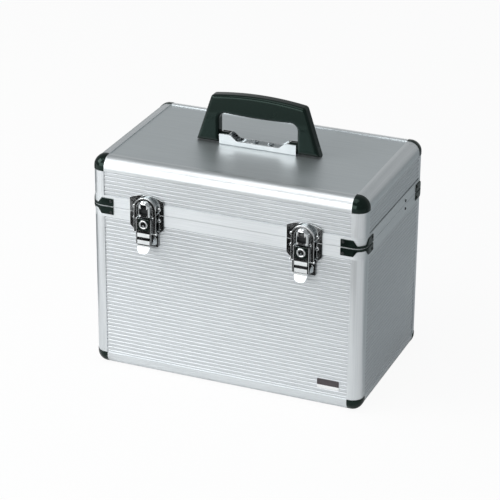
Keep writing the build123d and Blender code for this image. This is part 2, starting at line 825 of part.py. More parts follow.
def latch_claw():
    """A loop of two arms joined by an arch, with a hood over its middle."""
    front = claw_back_out + claw_thickness
    arch = front_disc(claw_arm_outer, 0, claw_arch_height, claw_back_out, front)
    arch -= front_disc(claw_arm_inner, 0, claw_arch_height, claw_back_out, front)
    arch -= block(-latch_width, latch_width, -half_depth - front, -half_depth, claw_pivot_height,
                  claw_arch_height)
    arm_low = claw_pivot_height
    arm = block(claw_arm_inner, claw_arm_outer, -half_depth - front, -half_depth - claw_back_out,
                arm_low, claw_arch_height)
    eye = rod(claw_eye_radius, (claw_arm_inner, -half_depth - claw_pivot_out, claw_pivot_height), (1, 0, 0),
              claw_arm_outer - claw_arm_inner)
    claw = arch + arm + mirrored_x(arm) + eye + mirrored_x(eye)
    sheet_front = claw_back_out + claw_plate_thickness
    reach = claw_arm_inner + claw_sheet_overlap
    sheet = front_disc(reach, 0, claw_arch_height, claw_back_out, sheet_front)
    sheet += block(-reach, reach, -half_depth - sheet_front, -half_depth - claw_back_out,
                   claw_plate_bottom, claw_arch_height)
    sheet -= block(-latch_width, latch_width, -half_depth - front, -half_depth, claw_pivot_height,
                   claw_plate_bottom)
    hood = front_disc(hood_half_width, 0, hood_arch_height, claw_back_out, hood_front_out)
    hood_face = -half_depth - hood_front_out
    hood += block(-hood_half_width, hood_half_width, hood_face, -half_depth - claw_back_out,
                  claw_plate_bottom, hood_arch_height)
    rim_edges = [edge for edge in hood.edges()
                 if abs(edge.center().Y - hood_face) < 0.01 and edge.center().Z > claw_plate_bottom + 0.01]
    hood = fillet(rim_edges, hood_edge_radius)
    room = hood_half_width - hood_wall
    hollow = front_disc(room, 0, hood_arch_height, sheet_front, hood_front_out - hood_wall)
    hollow += block(-room, room, hood_face + hood_wall, -half_depth - sheet_front,
                    claw_plate_bottom + hood_wall, hood_arch_height)
    inner_edges = [edge for edge in hollow.edges()
                   if abs(edge.center().Y - hood_face - hood_wall) < 0.01
                   and edge.center().Z > claw_plate_bottom + hood_wall + 0.01]
    hollow = fillet(inner_edges, hood_edge_radius - hood_wall)
    window = block(-window_half_width, window_half_width, hood_face - over, -half_depth - sheet_front,
                   window_bottom, window_top)
    claw += sheet + hood
    claw -= hollow
    claw -= window
    claw -= pin_across(claw_pin_radius + running_clearance, claw_pivot_out, claw_pivot_height, latch_width)
    return claw


def lock_bezel():
    half = lock_square / 2
    bezel = block(-half, half, -half_depth - bezel_front_out, -half_depth - bezel_back_out,
                  lock_height - half, lock_height + half)
    return bezel - front_disc(lock_radius + running_clearance, 0, lock_height, bezel_back_out - over,
                              bezel_front_out + over)


def lock_cylinder():
    barrel = front_disc(lock_radius, 0, lock_height, lock_back_out, lock_front_out)
    cam = block(-lock_cam_width / 2, lock_cam_width / 2, -half_depth - lock_back_out - lock_cam_thickness,
                -half_depth - lock_back_out, lock_height - lock_cam_length, lock_height)
    slot = block(-key_slot_width / 2, key_slot_width / 2, -half_depth - lock_front_out - over,
                 -half_depth - lock_front_out + key_slot_depth, lock_height - key_slot_length / 2,
                 lock_height + key_slot_length / 2)
    return barrel + cam - slot


base_plate = latch_base_plate()
keeper = latch_keeper()
lever = latch_lever()
claw = latch_claw()
bezel = lock_bezel()
cylinder = lock_cylinder()
lever_pin = pin_across(lever_pin_radius, lever_pivot_out, lever_pivot_height, lever_half_width)
claw_pin = headed_pin(claw_pin_radius, claw_pivot_out, claw_pivot_height, claw_arm_outer + hole_clearance)
for name, x in latch_places.items():
    here = Pos(x, 0, split_height)
    plate = here * base_plate
    for place in latch_body_rivets:
        plate -= rivet_hole(place)
    catch = here * keeper
    for place in latch_lid_rivets:
        catch -= rivet_hole(place)
    save(f"latch_{name}_plate", plate)
    save(f"latch_{name}_keeper", catch)
    save(f"latch_{name}_lever", here * lever)
    save(f"latch_{name}_claw", here * claw)
    save(f"latch_{name}_bezel", here * bezel)
    save(f"latch_{name}_lock", here * cylinder)
    save(f"latch_{name}_pins", here * lever_pin, here * claw_pin)
plate_rivets = [rivet(place, latch_plate_thickness) for place in latch_body_rivets]
keeper_rivets = [rivet(place, latch_plate_thickness) for place in latch_lid_rivets]
save("body_rivets", *hinge_body_rivets, *plate_rivets)
save("lid_rivets", *hinge_lid_rivets, *keeper_rivets)


# Carry handle: a moulded bail whose feet are rounded about the pivot line, on a pressed bracket

def handle_outline():
    """The bail seen from the front, above the pivot line's floor."""
    low = handle_axis - handle_depth / 2
    base = lid_board_top
    shoulder = base + handle_shoulder
    top = base + handle_crown
    rim_line = Polyline((-handle_half_top, shoulder), (-handle_half_foot, low), (handle_half_foot, low),
                        (handle_half_top, shoulder))
    crown = ThreePointArc((handle_half_top, shoulder), (0, top), (-handle_half_top, shoulder))
    return make_face(Curve() + [rim_line, crown])


def carry_handle():
    low = handle_axis - handle_depth / 2
    half = handle_depth / 2
    plane = Plane(origin=(0, half, 0), x_dir=(1, 0, 0), z_dir=(0, -1, 0))
    outer = extrude(plane * handle_outline(), handle_depth)
    outer = fillet(outer.edges().filter_by(Axis.Y).sort_by(Axis.Z)[-2:], handle_corner_radius)
    opening_top = lid_board_top + handle_opening_height
    sides = Polyline((-handle_opening_half, opening_top), (-handle_opening_half, low - over),
                     (handle_opening_half, low - over), (handle_opening_half, opening_top))
    grip = ThreePointArc((handle_opening_half, opening_top), (0, opening_top - handle_grip_sag),
                         (-handle_opening_half, opening_top))
    room_plane = Plane(origin=(0, half + over, 0), x_dir=(1, 0, 0), z_dir=(0, -1, 0))
    room = extrude(room_plane * make_face(Curve() + [sides, grip]), handle_depth + 2 * over)
    room = fillet(room.edges().filter_by(Axis.Y).sort_by(Axis.Z)[-2:], handle_opening_radius)
    bail = outer - room
    long_edges = [edge for edge in bail.edges()
                  if abs(abs(edge.center().Y) - half) < 0.01 and edge.center().Z > low + 0.5]
    bail = fillet(long_edges, handle_edge_radius)
    reach = handle_half_foot + over
    tube = rod(half, (-reach, 0, handle_axis), (1, 0, 0), 2 * reach)
    above = block(-reach, reach, -half - over, half + over, handle_axis, lid_board_top + handle_crown + over)
    bail &= tube + above
    for sign in (-1, 1):
        start = sign * (handle_opening_half + over)
        bail += rod(boss_radius, (start, 0, handle_axis), (-sign, 0, 0), boss_length + over)
        bore_start = sign * (handle_opening_half - boss_length - over)
        bail -= rod(handle_pin_radius + running_clearance, (bore_start, 0, handle_axis), (sign, 0, 0),
                    handle_pin_depth + over + hole_clearance)
    return bail


save("handle", carry_handle())


def handle_bracket():
    """A channel with high ends for the bosses and an upright ear inside each end."""
    floor = lid_board_top
    outer = bracket_half_width
    bracket = block(-bracket_half_length, bracket_half_length, -outer, outer, floor, floor + bracket_sheet)
    wall = [(-bracket_half_length, floor), (bracket_half_length, floor),
            (bracket_half_length, floor + bracket_end_height),
            (bracket_end_start, floor + bracket_end_height),
            (bracket_middle_half, floor + bracket_middle_height),
            (-bracket_middle_half, floor + bracket_middle_height),
            (-bracket_end_start, floor + bracket_end_height),
            (-bracket_half_length, floor + bracket_end_height)]
    front = prism_y(wall, -outer, -outer + bracket_sheet)
    bracket += front + mirrored_y(front)
    ear = block(bracket_ear_at, bracket_ear_at + bracket_ear_thickness, -outer, outer, floor,
                floor + bracket_end_height)
    bracket += ear + mirrored_x(ear)
    bore_start = (-bracket_half_length, 0, handle_axis)
    bracket -= rod(handle_pin_radius + running_clearance, bore_start, (1, 0, 0), 2 * bracket_half_length)
    for x in screw_places:
        bracket -= screw_hole(x, floor, floor + bracket_sheet)
    return bracket


def handle_pin(sign):
    """A pin from behind an ear into the handle's boss, with its head against the ear."""
    seat = (sign * bracket_ear_at, 0, handle_axis)
    boss_start = handle_opening_half - boss_length
    pin = rod(handle_pin_radius, seat, (sign, 0, 0), boss_start + handle_pin_depth - bracket_ear_at)
    return pin + rod(handle_pin_head_radius, seat, (-sign, 0, 0), handle_pin_head_length)


save("handle_bracket", handle_bracket())
save("handle_pins", handle_pin(-1), handle_pin(1))


def handle_screw(x):
    seat = lid_board_top + bracket_sheet
    screw = rod(screw_radius, (x, 0, nut_bottom), (0, 0, 1), seat - nut_bottom)
    head = rod(screw_head_radius, (x, 0, seat), (0, 0, 1), screw_head_height)
    head = fillet(head.edges().sort_by(Axis.Z)[-1:], screw_head_round)
    head -= block(x - screw_slot_width / 2, x + screw_slot_width / 2, -screw_head_radius, screw_head_radius,
                  seat + screw_head_height - screw_slot_depth, seat + screw_head_height + over)
    return screw + head


def handle_nut(x):
    hexagon = RegularPolygon(nut_across_flats / 2, 6, major_radius=False)
    nut = extrude(Pos(x, 0, nut_bottom) * hexagon, nut_thickness)
    bore_start = (x, 0, nut_bottom - over)
    return nut - rod(screw_radius + running_clearance, bore_start, (0, 0, 1), nut_thickness + 2 * over)


def backing_strip(centre):
    strip = block(centre - backing_length / 2, centre + backing_length / 2, -backing_width / 2,
                  backing_width / 2, backing_bottom, backing_top)
    for x in screw_places:
        strip -= screw_hole(x, backing_bottom, backing_top)
    return strip


save("handle_screws", *[handle_screw(x) for x in screw_places])
save("handle_nuts", *[handle_nut(x) for x in screw_places])
save("handle_backing_strips", backing_strip(-backing_centre), backing_strip(backing_centre))


# Lid stays, drawn at the right side: flat arms on a rivet in the body rim and one in the lid rim

arm_outer = half_width - shell_depth - stay_wall_gap
lower_outer = arm_outer
lower_inner = lower_outer - stay_arm_thickness
upper_outer = lower_inner - stay_arm_gap
upper_inner = upper_outer - stay_arm_thickness
fold_half = (stay_lid_height - stay_body_height) / 2
fold_reach = (stay_arm_length ** 2 - fold_half ** 2) ** 0.5
elbow = (stay_at - fold_reach, stay_body_height + fold_half)


def stay_arm(start, x0, x1, end_hole):
    """A flat bar with round ends from a pivot to the elbow."""
    half = stay_arm_width / 2
    run = (elbow[0] - start[0], elbow[1] - start[1])
    length = (run[0] ** 2 + run[1] ** 2) ** 0.5
    along = (run[0] / length, run[1] / length)
    across = (-along[1] * half, along[0] * half)
    corners = [(start[0] + across[0], start[1] + across[1]), (elbow[0] + across[0], elbow[1] + across[1]),
               (elbow[0] - across[0], elbow[1] - across[1]), (start[0] - across[0], start[1] - across[1])]
    arm = prism_x(corners, x0, x1)
    for y, z in (start, elbow):
        arm += rod(half, (x0, y, z), (1, 0, 0), x1 - x0)
    for y, z in (start, elbow) if end_hole else (start,):
        arm -= rod(rivet_radius + running_clearance, (x0 - over, y, z), (1, 0, 0), x1 - x0 + 2 * over)
    return arm


def stay_rivet(height, head_at, shoulder_to):
    """A shouldered rivet through the rim, with a small head outside and a head over the arm."""
    outside = half_width
    shank = rod(rivet_radius, (head_at, stay_at, height), (1, 0, 0), outside - head_at)
    outer_head = rod(small_head_radius, (outside, stay_at, height), (1, 0, 0), small_head_height)
    outer_head = fillet(outer_head.edges().sort_by(Axis.X)[-1:], small_head_height * rivet_head_round)
    inner_head = rod(stay_head_radius, (head_at, stay_at, height), (-1, 0, 0), stay_head_height)
    shoulder = rod(stay_shoulder_radius, (shoulder_to, stay_at, height), (1, 0, 0),
                   half_width - shell_depth - shoulder_to)
    return shank + outer_head + inner_head + shoulder


lower_arm = stay_arm((stay_at, stay_body_height), lower_inner, lower_outer, True)
upper_arm = stay_arm((stay_at, stay_lid_height), upper_inner, upper_outer, False)
upper_arm += rod(stay_head_radius, (upper_inner, elbow[0], elbow[1]), (-1, 0, 0), stay_head_height)
body_stay_rivet = stay_rivet(stay_body_height, lower_inner - stay_head_gap, lower_outer + stay_head_gap / 2)
lid_stay_rivet = stay_rivet(stay_lid_height, upper_inner - stay_head_gap, upper_outer + stay_head_gap / 2)
save("stay_right_lower_arm", lower_arm)
save("stay_left_lower_arm", mirrored_x(lower_arm))
save("stay_right_upper_arm", upper_arm)
save("stay_left_upper_arm", mirrored_x(upper_arm))
save("stay_body_rivets", body_stay_rivet, mirrored_x(body_stay_rivet))
save("stay_lid_rivets", lid_stay_rivet, mirrored_x(lid_stay_rivet))


# Bare plate on the front board, low at the right

plate_face = -half_depth + board_outer
plate_right = half_width - lip_reach - plate_inset
plate_bottom = lip_reach + plate_rise
blank = block(plate_right - plate_width, plate_right, plate_face - plate_thickness, plate_face,
              plate_bottom, plate_bottom + plate_height)
plate_corners = blank.edges().filter_by(Axis.Y)
save("front_blank_plate", fillet(plate_corners, plate_corner_radius))
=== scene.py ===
from math import cos, pi, radians, sin

import bmesh
import bpy
from mathutils import Matrix, Vector


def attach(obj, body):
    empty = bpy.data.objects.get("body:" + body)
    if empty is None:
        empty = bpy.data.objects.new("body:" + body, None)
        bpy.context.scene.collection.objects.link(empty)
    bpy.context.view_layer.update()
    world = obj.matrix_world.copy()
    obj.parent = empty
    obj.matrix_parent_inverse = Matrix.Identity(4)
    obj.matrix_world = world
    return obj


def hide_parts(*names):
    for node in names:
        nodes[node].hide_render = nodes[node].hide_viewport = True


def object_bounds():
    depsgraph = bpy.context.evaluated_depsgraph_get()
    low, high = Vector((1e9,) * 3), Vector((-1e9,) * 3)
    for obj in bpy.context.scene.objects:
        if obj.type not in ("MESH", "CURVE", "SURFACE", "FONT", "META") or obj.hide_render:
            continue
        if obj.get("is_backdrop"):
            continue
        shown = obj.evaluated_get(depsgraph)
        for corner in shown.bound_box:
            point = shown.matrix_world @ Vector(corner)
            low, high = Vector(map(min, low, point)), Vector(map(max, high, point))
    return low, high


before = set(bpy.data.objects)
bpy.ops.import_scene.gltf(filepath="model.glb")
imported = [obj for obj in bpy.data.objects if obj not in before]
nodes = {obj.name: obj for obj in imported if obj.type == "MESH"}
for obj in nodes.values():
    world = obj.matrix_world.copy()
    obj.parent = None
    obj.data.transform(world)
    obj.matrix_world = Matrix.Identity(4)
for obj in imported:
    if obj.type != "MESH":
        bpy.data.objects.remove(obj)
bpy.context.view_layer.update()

# The view of the photograph: a long lens from above and to the right.
# Values are the camera's place in metres, and its turn, tilt and roll in degrees.
camera_place = (0.9593, -2.3829, 1.3244)
camera_turn, camera_tilt, camera_roll = 22.169, 24.685, 0.443
lens_mm, sensor_mm = 159.9, 36.0

scene = bpy.context.scene
scene.view_settings.view_transform = "Standard"


def turned(turn, tilt, roll):
    """The axes of a camera that looks back at the case from a turn and a tilt."""
    a, e, r = radians(turn), radians(tilt), radians(roll)
    back = Vector((sin(a) * cos(e), -cos(a) * cos(e), sin(e)))
    right = Vector((cos(a), sin(a), 0))
    up = back.cross(right)
    right, up = cos(r) * right + sin(r) * up, cos(r) * up - sin(r) * right
    return Matrix((right, up, back)).transposed().to_4x4()


camera_data = bpy.data.cameras.new("camera")
camera_data.lens = lens_mm
camera_data.sensor_width = sensor_mm
camera_data.clip_end = 50
camera = bpy.data.objects.new("camera", camera_data)
scene.collection.objects.link(camera)
camera.matrix_world = Matrix.Translation(camera_place) @ turned(camera_turn, camera_tilt, camera_roll)
scene.camera = camera


# The studio: white paper behind and below, two soft boxes in front and one above. Paper cards lie on the
# floor and show in reflections only: black ones darken the chrome and the handle, grey ones the sides.

def tint(code):
    """An sRGB hex colour as the linear values that a shader takes."""
    linear = []
    for place in (0, 2, 4):
        value = int(code[place:place + 2], 16) / 255
        linear.append(value / 12.92 if value <= 0.04045 else ((value + 0.055) / 1.055) ** 2.4)
    return (*linear, 1)


def add(tree, kind, settings=None, **links):
    """Add a node; settings holds its own properties, links its sockets' values or sources."""
    node = tree.nodes.new(kind)
    for name, value in (settings or {}).items():
        setattr(node, name, value)
    for name, value in links.items():
        socket = node.inputs[int(name[1:])] if name[0] == "i" and name[1:].isdigit() else (
            node.inputs[name.replace("_", " ")])
        if isinstance(value, bpy.types.NodeSocket):
            tree.links.new(value, socket)
        else:
            socket.default_value = value
    return node


world = bpy.data.worlds.new("studio")
scene.world = world
world.use_nodes = True
tree = world.node_tree
tree.nodes.clear()
light_path = add(tree, "ShaderNodeLightPath")
toward = add(tree, "ShaderNodeSeparateXYZ", Vector=add(tree, "ShaderNodeTexCoord").outputs["Generated"])
behind = add(tree, "ShaderNodeMapRange", {"interpolation_type": "SMOOTHSTEP"}, Value=toward.outputs["Y"],
             From_Min=-0.2, From_Max=0.35)
below = add(tree, "ShaderNodeMapRange", {"interpolation_type": "SMOOTHSTEP"}, Value=toward.outputs["Z"],
            From_Min=0.5, From_Max=0.05)
mirrored = add(tree, "ShaderNodeMath", {"operation": "MAXIMUM"}, i0=light_path.outputs["Is Glossy Ray"],
               i1=light_path.outputs["Is Transmission Ray"])
aside = add(tree, "ShaderNodeMapRange", {"interpolation_type": "SMOOTHSTEP"}, Value=toward.outputs["X"],
            From_Min=0.5, From_Max=0.1)
leftward = add(tree, "ShaderNodeMapRange", {"interpolation_type": "SMOOTHSTEP"}, Value=toward.outputs["X"],
               From_Min=-0.6, From_Max=-0.38)
between = add(tree, "ShaderNodeMath", {"operation": "MULTIPLY"}, i0=aside.outputs[0], i1=leftward.outputs[0])
centred = add(tree, "ShaderNodeMath", {"operation": "MULTIPLY"}, i0=behind.outputs[0], i1=between.outputs[0])
backdrop = add(tree, "ShaderNodeMath", {"operation": "MULTIPLY"}, i0=below.outputs[0],
               i1=centred.outputs[0])
reflected = add(tree, "ShaderNodeMath", {"operation": "MULTIPLY"}, i0=mirrored.outputs[0],
                i1=backdrop.outputs[0])
seen = add(tree, "ShaderNodeMath", {"operation": "MAXIMUM"}, i0=light_path.outputs["Is Camera Ray"],
           i1=reflected.outputs[0])
room = add(tree, "ShaderNodeBackground", Color=tint("f4f9fb"), Strength=0.37)
sweep = add(tree, "ShaderNodeBackground", Color=tint("ffffff"), Strength=1.0)
mixed = add(tree, "ShaderNodeMixShader", i0=seen.outputs[0], i1=room.outputs[0], i2=sweep.outputs[0])
add(tree, "ShaderNodeOutputWorld", Surface=mixed.outputs[0])


def softbox(name, place, size, power, aim=(0, 0, 0.15)):
    """A square studio lamp that faces a point on the case."""
    lamp = bpy.data.lights.new(name, "AREA")
    lamp.shape = "RECTANGLE"
    lamp.size, lamp.size_y = size
    lamp.energy = power
    holder = bpy.data.objects.new(name, lamp)
    scene.collection.objects.link(holder)
    holder.location = place
    holder.rotation_euler = (Vector(aim) - Vector(place)).to_track_quat("-Z", "Y").to_euler()


softbox("front_box", (-0.9, -2.3, 0.85), (2.4, 1.3), 30)
softbox("left_box", (-1.8, -0.9, 1.5), (1.2, 1.2), 22)
softbox("top_box", (-0.3, -0.55, 2.1), (1.3, 1.3), 8)

# Each card's middle, size and tone. The handle's card lies over a latch's, so it is a hair higher.
card_level, over_card = 0.0003, 0.0004
black_card = "1c1c1c"
cards = (("left_latch_card", (-0.275, -0.535, card_level), (0.15, 0.2, 1), black_card),
         ("handle_card", (-0.265, -0.665, over_card), (0.3, 0.17, 1), black_card),
         ("right_latch_card", (-0.065, -0.535, card_level), (0.15, 0.2, 1), black_card),
         ("lever_card", (0.1725, -0.53, card_level), (0.305, 0.2, 1), black_card),
         ("left_side_card", (-0.95, 0.4, card_level), (1.2, 1.0, 1), "7c8284"),
         ("near_side_card", (0.245, 1.0, card_level), (0.09, 2.1, 1), "e4e8ea"),
         ("far_side_card", (1.24, 1.975, card_level), (1.9, 4.05, 1), "bbc1c3"))
for name, place, size, tone in cards:
    card_paper = bpy.data.materials.new(name)
    card_paper.use_nodes = True
    surface = card_paper.node_tree.nodes["Principled BSDF"]
    surface.inputs["Base Color"].default_value = tint(tone)
    surface.inputs["Roughness"].default_value = 1
    surface.inputs["Specular IOR Level"].default_value = 0
    bpy.ops.mesh.primitive_plane_add(size=1, location=place)
    card = bpy.context.object
    card.name = name
    card.scale = size
    card.visible_camera = False
    card.visible_diffuse = False
    card.visible_shadow = False
    card.data.materials.append(card_paper)
    card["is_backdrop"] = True

floor_size, floor_level = 8, -0.0005
bpy.ops.mesh.primitive_plane_add(size=floor_size, location=(0, 0, floor_level))
floor = bpy.context.object
floor.name = "floor"
floor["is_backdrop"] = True
paper = bpy.data.materials.new("white_paper_sweep")
paper.use_nodes = True
tree = paper.node_tree
tree.nodes.clear()
light_path = add(tree, "ShaderNodeLightPath")
matt = add(tree, "ShaderNodeBsdfDiffuse", Color=tint("f2f2f2"))
glow = add(tree, "ShaderNodeEmission", Color=tint("ffffff"), Strength=1.0)
shade = add(tree, "ShaderNodeMixShader", i0=0.93, i1=matt.outputs[0], i2=glow.outputs[0])
direct = add(tree, "ShaderNodeMixShader", i0=light_path.outputs["Is Camera Ray"], i1=matt.outputs[0],
             i2=shade.outputs[0])
add(tree, "ShaderNodeOutputMaterial", Surface=direct.outputs[0])
floor.data.materials.append(paper)


# Wall boards: fibreboard with a thin skin of rolled aluminium on the outside, with a small V groove every
# 5 mm. Each board slides into the slots of the edge extrusions and is held by glue.

mm = 0.001
rib_pitch = 5.0
body_groove, lid_groove = 205.7, 236.2
body_joint, lid_joint = 207.0, 235.5


def material(name, colour, metallic, roughness):
    """A shader with its base values, its tree, and its object coordinates."""
    made = bpy.data.materials.new(name)
    made.use_nodes = True
    tree = made.node_tree
    shader = tree.nodes["Principled BSDF"]
    shader.inputs["Base Color"].default_value = tint(colour)
    shader.inputs["Metallic"].default_value = metallic
    shader.inputs["Roughness"].default_value = roughness
    return made, tree, shader, add(tree, "ShaderNodeTexCoord").outputs["Object"]


def per_mm(*sizes):
    """Pattern scale for features of these sizes in millimetres."""
    return tuple(1 / (size * mm) for size in sizes)


def dress(made, *names):
    """Give CAD nodes a material."""
    for name in names:
        piece = nodes[name]
        piece.data.materials.clear()
        piece.data.materials.append(made)


def ribbed_skin(name, first_groove, joint):
    """Rolled aluminium: satin, with level rolling marks, painted shade in the grooves and a painted shadow
    line at the rim joint.
    """
    made, tree, shader, place = material(name, "d9dcde", 1.0, 0.4)
    marks = add(tree, "ShaderNodeTexNoise", Scale=1, Detail=4, Roughness=0.6, Vector=add(
        tree, "ShaderNodeMapping", Vector=place, Scale=per_mm(30, 30, 0.6)).outputs[0])
    cloud = add(tree, "ShaderNodeTexNoise", Scale=1, Detail=2, Vector=add(
        tree, "ShaderNodeMapping", Vector=place, Scale=per_mm(70, 70, 50)).outputs[0])
    height = add(tree, "ShaderNodeSeparateXYZ", Vector=place).outputs["Z"]
    step = add(tree, "ShaderNodeMath", {"operation": "SUBTRACT"}, i0=height, i1=first_groove * mm)
    fold = add(tree, "ShaderNodeMath", {"operation": "PINGPONG"}, i0=step.outputs[0], i1=rib_pitch / 2 * mm)
    # Painted shade: the colour darkens towards the middle of each groove.
    near = add(tree, "ShaderNodeMapRange", {"interpolation_type": "SMOOTHSTEP"}, Value=fold.outputs[0],
               From_Min=0.2 * mm, From_Max=1.1 * mm, To_Min=0.75, To_Max=0)
    metal = add(tree, "ShaderNodeValToRGB", Fac=marks.outputs["Fac"])
    metal.color_ramp.elements[0].position, metal.color_ramp.elements[1].position = 0.3, 0.7
    metal.color_ramp.elements[0].color, metal.color_ramp.elements[1].color = tint("d2d6d9"), tint("e0e3e5")
    groove_shaded = add(tree, "ShaderNodeMix", {"data_type": "RGBA"}, i0=near.outputs[0], i6=metal.outputs[0],
                i7=tint("b4b8bb"))
    off_joint = add(tree, "ShaderNodeMath", {"operation": "SUBTRACT"}, i0=height, i1=joint * mm)
    gap = add(tree, "ShaderNodeMath", {"operation": "ABSOLUTE"}, i0=off_joint.outputs[0])
    # The joint gets a painted shadow line, dark on the sides and hardly at all on the front and rear.
    sideways = add(tree, "ShaderNodeMath", {"operation": "ABSOLUTE"}, i0=add(
        tree, "ShaderNodeSeparateXYZ", Vector=place).outputs["X"])
    depth = add(tree, "ShaderNodeMapRange", Value=sideways.outputs[0], From_Min=168 * mm, From_Max=176 * mm,
                To_Min=0.12, To_Max=0.85)
    joint_shade = add(tree, "ShaderNodeMapRange", {"interpolation_type": "SMOOTHSTEP"}, Value=gap.outputs[0],
               From_Min=0.5 * mm, From_Max=1.1 * mm, To_Min=depth.outputs[0], To_Max=0)
    joint_shaded = add(tree, "ShaderNodeMix", {"data_type": "RGBA"}, i0=joint_shade.outputs[0], i6=groove_shaded.outputs[2],
                i7=tint("3c4042"))
    tree.links.new(joint_shaded.outputs[2], shader.inputs["Base Color"])
    dull = add(tree, "ShaderNodeMapRange", Value=cloud.outputs["Fac"], From_Min=0.3, From_Max=0.7,
               To_Min=0.37, To_Max=0.45)
    tree.links.new(dull.outputs[0], shader.inputs["Roughness"])
    bump = add(tree, "ShaderNodeBump", Strength=0.25, Distance=0.02 * mm, Height=marks.outputs["Fac"])
    tree.links.new(bump.outputs[0], shader.inputs["Normal"])
    return made


walls = ("front", "rear", "left", "right")
dress(ribbed_skin("aluminium_sheet_rolled_ribs_body", body_groove, body_joint),
      *[f"body_{wall}_panel" for wall in walls])
dress(ribbed_skin("aluminium_sheet_rolled_ribs_lid", lid_groove, lid_joint),
      *[f"lid_{wall}_panel" for wall in walls])


# Top and underside boards: the same fibreboard with a plain brushed aluminium skin. They slide into the
# slots of the edge extrusions, and the top one carries the handle's bracket. Fine strokes run along the
# case's length, and faint clouds of dullness make the broad reflection less even.

brushed, tree, shader, place = material("aluminium_sheet_brushed", "dcdfe0", 1.0, 0.46)
strokes = add(tree, "ShaderNodeTexNoise", Scale=1, Detail=5, Roughness=0.65, Vector=add(
    tree, "ShaderNodeMapping", Vector=place, Scale=per_mm(60, 0.7, 0.7)).outputs[0])
cloud = add(tree, "ShaderNodeTexNoise", Scale=1, Detail=3, Vector=add(
    tree, "ShaderNodeMapping", Vector=place, Scale=per_mm(90, 35, 35)).outputs[0])
metal = add(tree, "ShaderNodeValToRGB", Fac=strokes.outputs["Fac"])
metal.color_ramp.elements[0].position, metal.color_ramp.elements[1].position = 0.25, 0.75
metal.color_ramp.elements[0].color, metal.color_ramp.elements[1].color = tint("cbd1d3"), tint("dbe0e2")
tree.links.new(metal.outputs[0], shader.inputs["Base Color"])
dull = add(tree, "ShaderNodeMapRange", Value=cloud.outputs["Fac"], From_Min=0.3, From_Max=0.7, To_Min=0.46,
           To_Max=0.51)
tree.links.new(dull.outputs[0], shader.inputs["Roughness"])
bump = add(tree, "ShaderNodeBump", Strength=0.3, Distance=0.02 * mm, Height=strokes.outputs["Fac"])
tree.links.new(bump.outputs[0], shader.inputs["Normal"])
dress(brushed, "lid_top_panel", "base_panel")


# Edge extrusions: anodised aluminium, rounded outside, with a slot on each side for the boards. They are
# cut to length and held by the corner caps and rivets. Fine die lines run along each one.

def extruded(name, line_sizes, dullness=0.36):
    """Extruded aluminium, anodised: even and satin, with fine straight die lines along its length."""
    made, tree, shader, place = material(name, "dfe1e2", 1.0, dullness)
    lines = add(tree, "ShaderNodeTexNoise", Scale=1, Detail=3, Roughness=0.5, Vector=add(
        tree, "ShaderNodeMapping", Vector=place, Scale=per_mm(*line_sizes)).outputs[0])
    cloud = add(tree, "ShaderNodeTexNoise", Scale=1, Detail=2, Vector=add(
        tree, "ShaderNodeMapping", Vector=place, Scale=per_mm(45, 45, 45)).outputs[0])
    metal = add(tree, "ShaderNodeValToRGB", Fac=lines.outputs["Fac"])
    metal.color_ramp.elements[0].position, metal.color_ramp.elements[1].position = 0.3, 0.7
    metal.color_ramp.elements[0].color, metal.color_ramp.elements[1].color = tint("dde1e3"), tint("e8ebed")
    tree.links.new(metal.outputs[0], shader.inputs["Base Color"])
    dull = add(tree, "ShaderNodeMapRange", Value=cloud.outputs["Fac"], From_Min=0.3, From_Max=0.7,
               To_Min=dullness - 0.04, To_Max=dullness + 0.04)
    tree.links.new(dull.outputs[0], shader.inputs["Roughness"])
    bump = add(tree, "ShaderNodeBump", Strength=0.2, Distance=0.01 * mm, Height=lines.outputs["Fac"])
    tree.links.new(bump.outputs[0], shader.inputs["Normal"])
    return made


dress(extruded("aluminium_extruded_anodised_upright", (0.8, 0.8, 90)), "body_corner_profiles",
      "lid_corner_profiles")
dress(extruded("aluminium_extruded_anodised_long", (90, 0.8, 0.8)), "bottom_long_profiles",
      "top_long_profiles")
dress(extruded("aluminium_extruded_anodised_side", (0.8, 90, 0.8)), "bottom_side_profiles",
      "top_side_profiles")


# Rims: flat extruded strips bent round the case where lid and body meet. The body's has a tongue that
# enters a groove in the lid's. Same anodised aluminium, with die lines round the case.

dress(extruded("aluminium_extruded_anodised_rim", (90, 90, 0.8), 0.56), "body_rim", "lid_rim")


# Corner caps and handle: glossy black ABS from polished moulds, slightly green in the light, with soft flow
# marks. The caps plug into the ends of the extrusions, and the handle turns on two pins.

plastic, tree, shader, place = material("abs_moulded_black", "0b1311", 0.0, 0.2)
flow = add(tree, "ShaderNodeTexNoise", Scale=1, Detail=4, Roughness=0.6, Vector=add(
    tree, "ShaderNodeMapping", Vector=place, Scale=per_mm(14, 14, 14)).outputs[0])
dust = add(tree, "ShaderNodeTexNoise", Scale=1, Detail=2, Vector=add(
    tree, "ShaderNodeMapping", Vector=place, Scale=per_mm(0.5, 0.5, 0.5)).outputs[0])
body_colour = add(tree, "ShaderNodeValToRGB", Fac=flow.outputs["Fac"])
body_colour.color_ramp.elements[0].position, body_colour.color_ramp.elements[1].position = 0.3, 0.75
body_colour.color_ramp.elements[0].color = tint("09110f")
body_colour.color_ramp.elements[1].color = tint("0f1916")
tree.links.new(body_colour.outputs[0], shader.inputs["Base Color"])
worn = add(tree, "ShaderNodeMapRange", Value=flow.outputs["Fac"], From_Min=0.3, From_Max=0.75,
           To_Min=0.09, To_Max=0.17)
tree.links.new(worn.outputs[0], shader.inputs["Roughness"])
shader.inputs["Specular IOR Level"].default_value = 0.36
shader.inputs["Specular Tint"].default_value = tint("c2e4d8")
bump = add(tree, "ShaderNodeBump", Strength=0.1, Distance=0.006 * mm, Height=dust.outputs["Fac"])
tree.links.new(bump.outputs[0], shader.inputs["Normal"])
dress(plastic, "bottom_corner_caps", "top_corner_caps", "handle")


# Rivets, latch metal and handle bracket: pressed steel, nickel and chrome plated. Mirror bright, slightly
# wavy from the press, with a few dull smears.

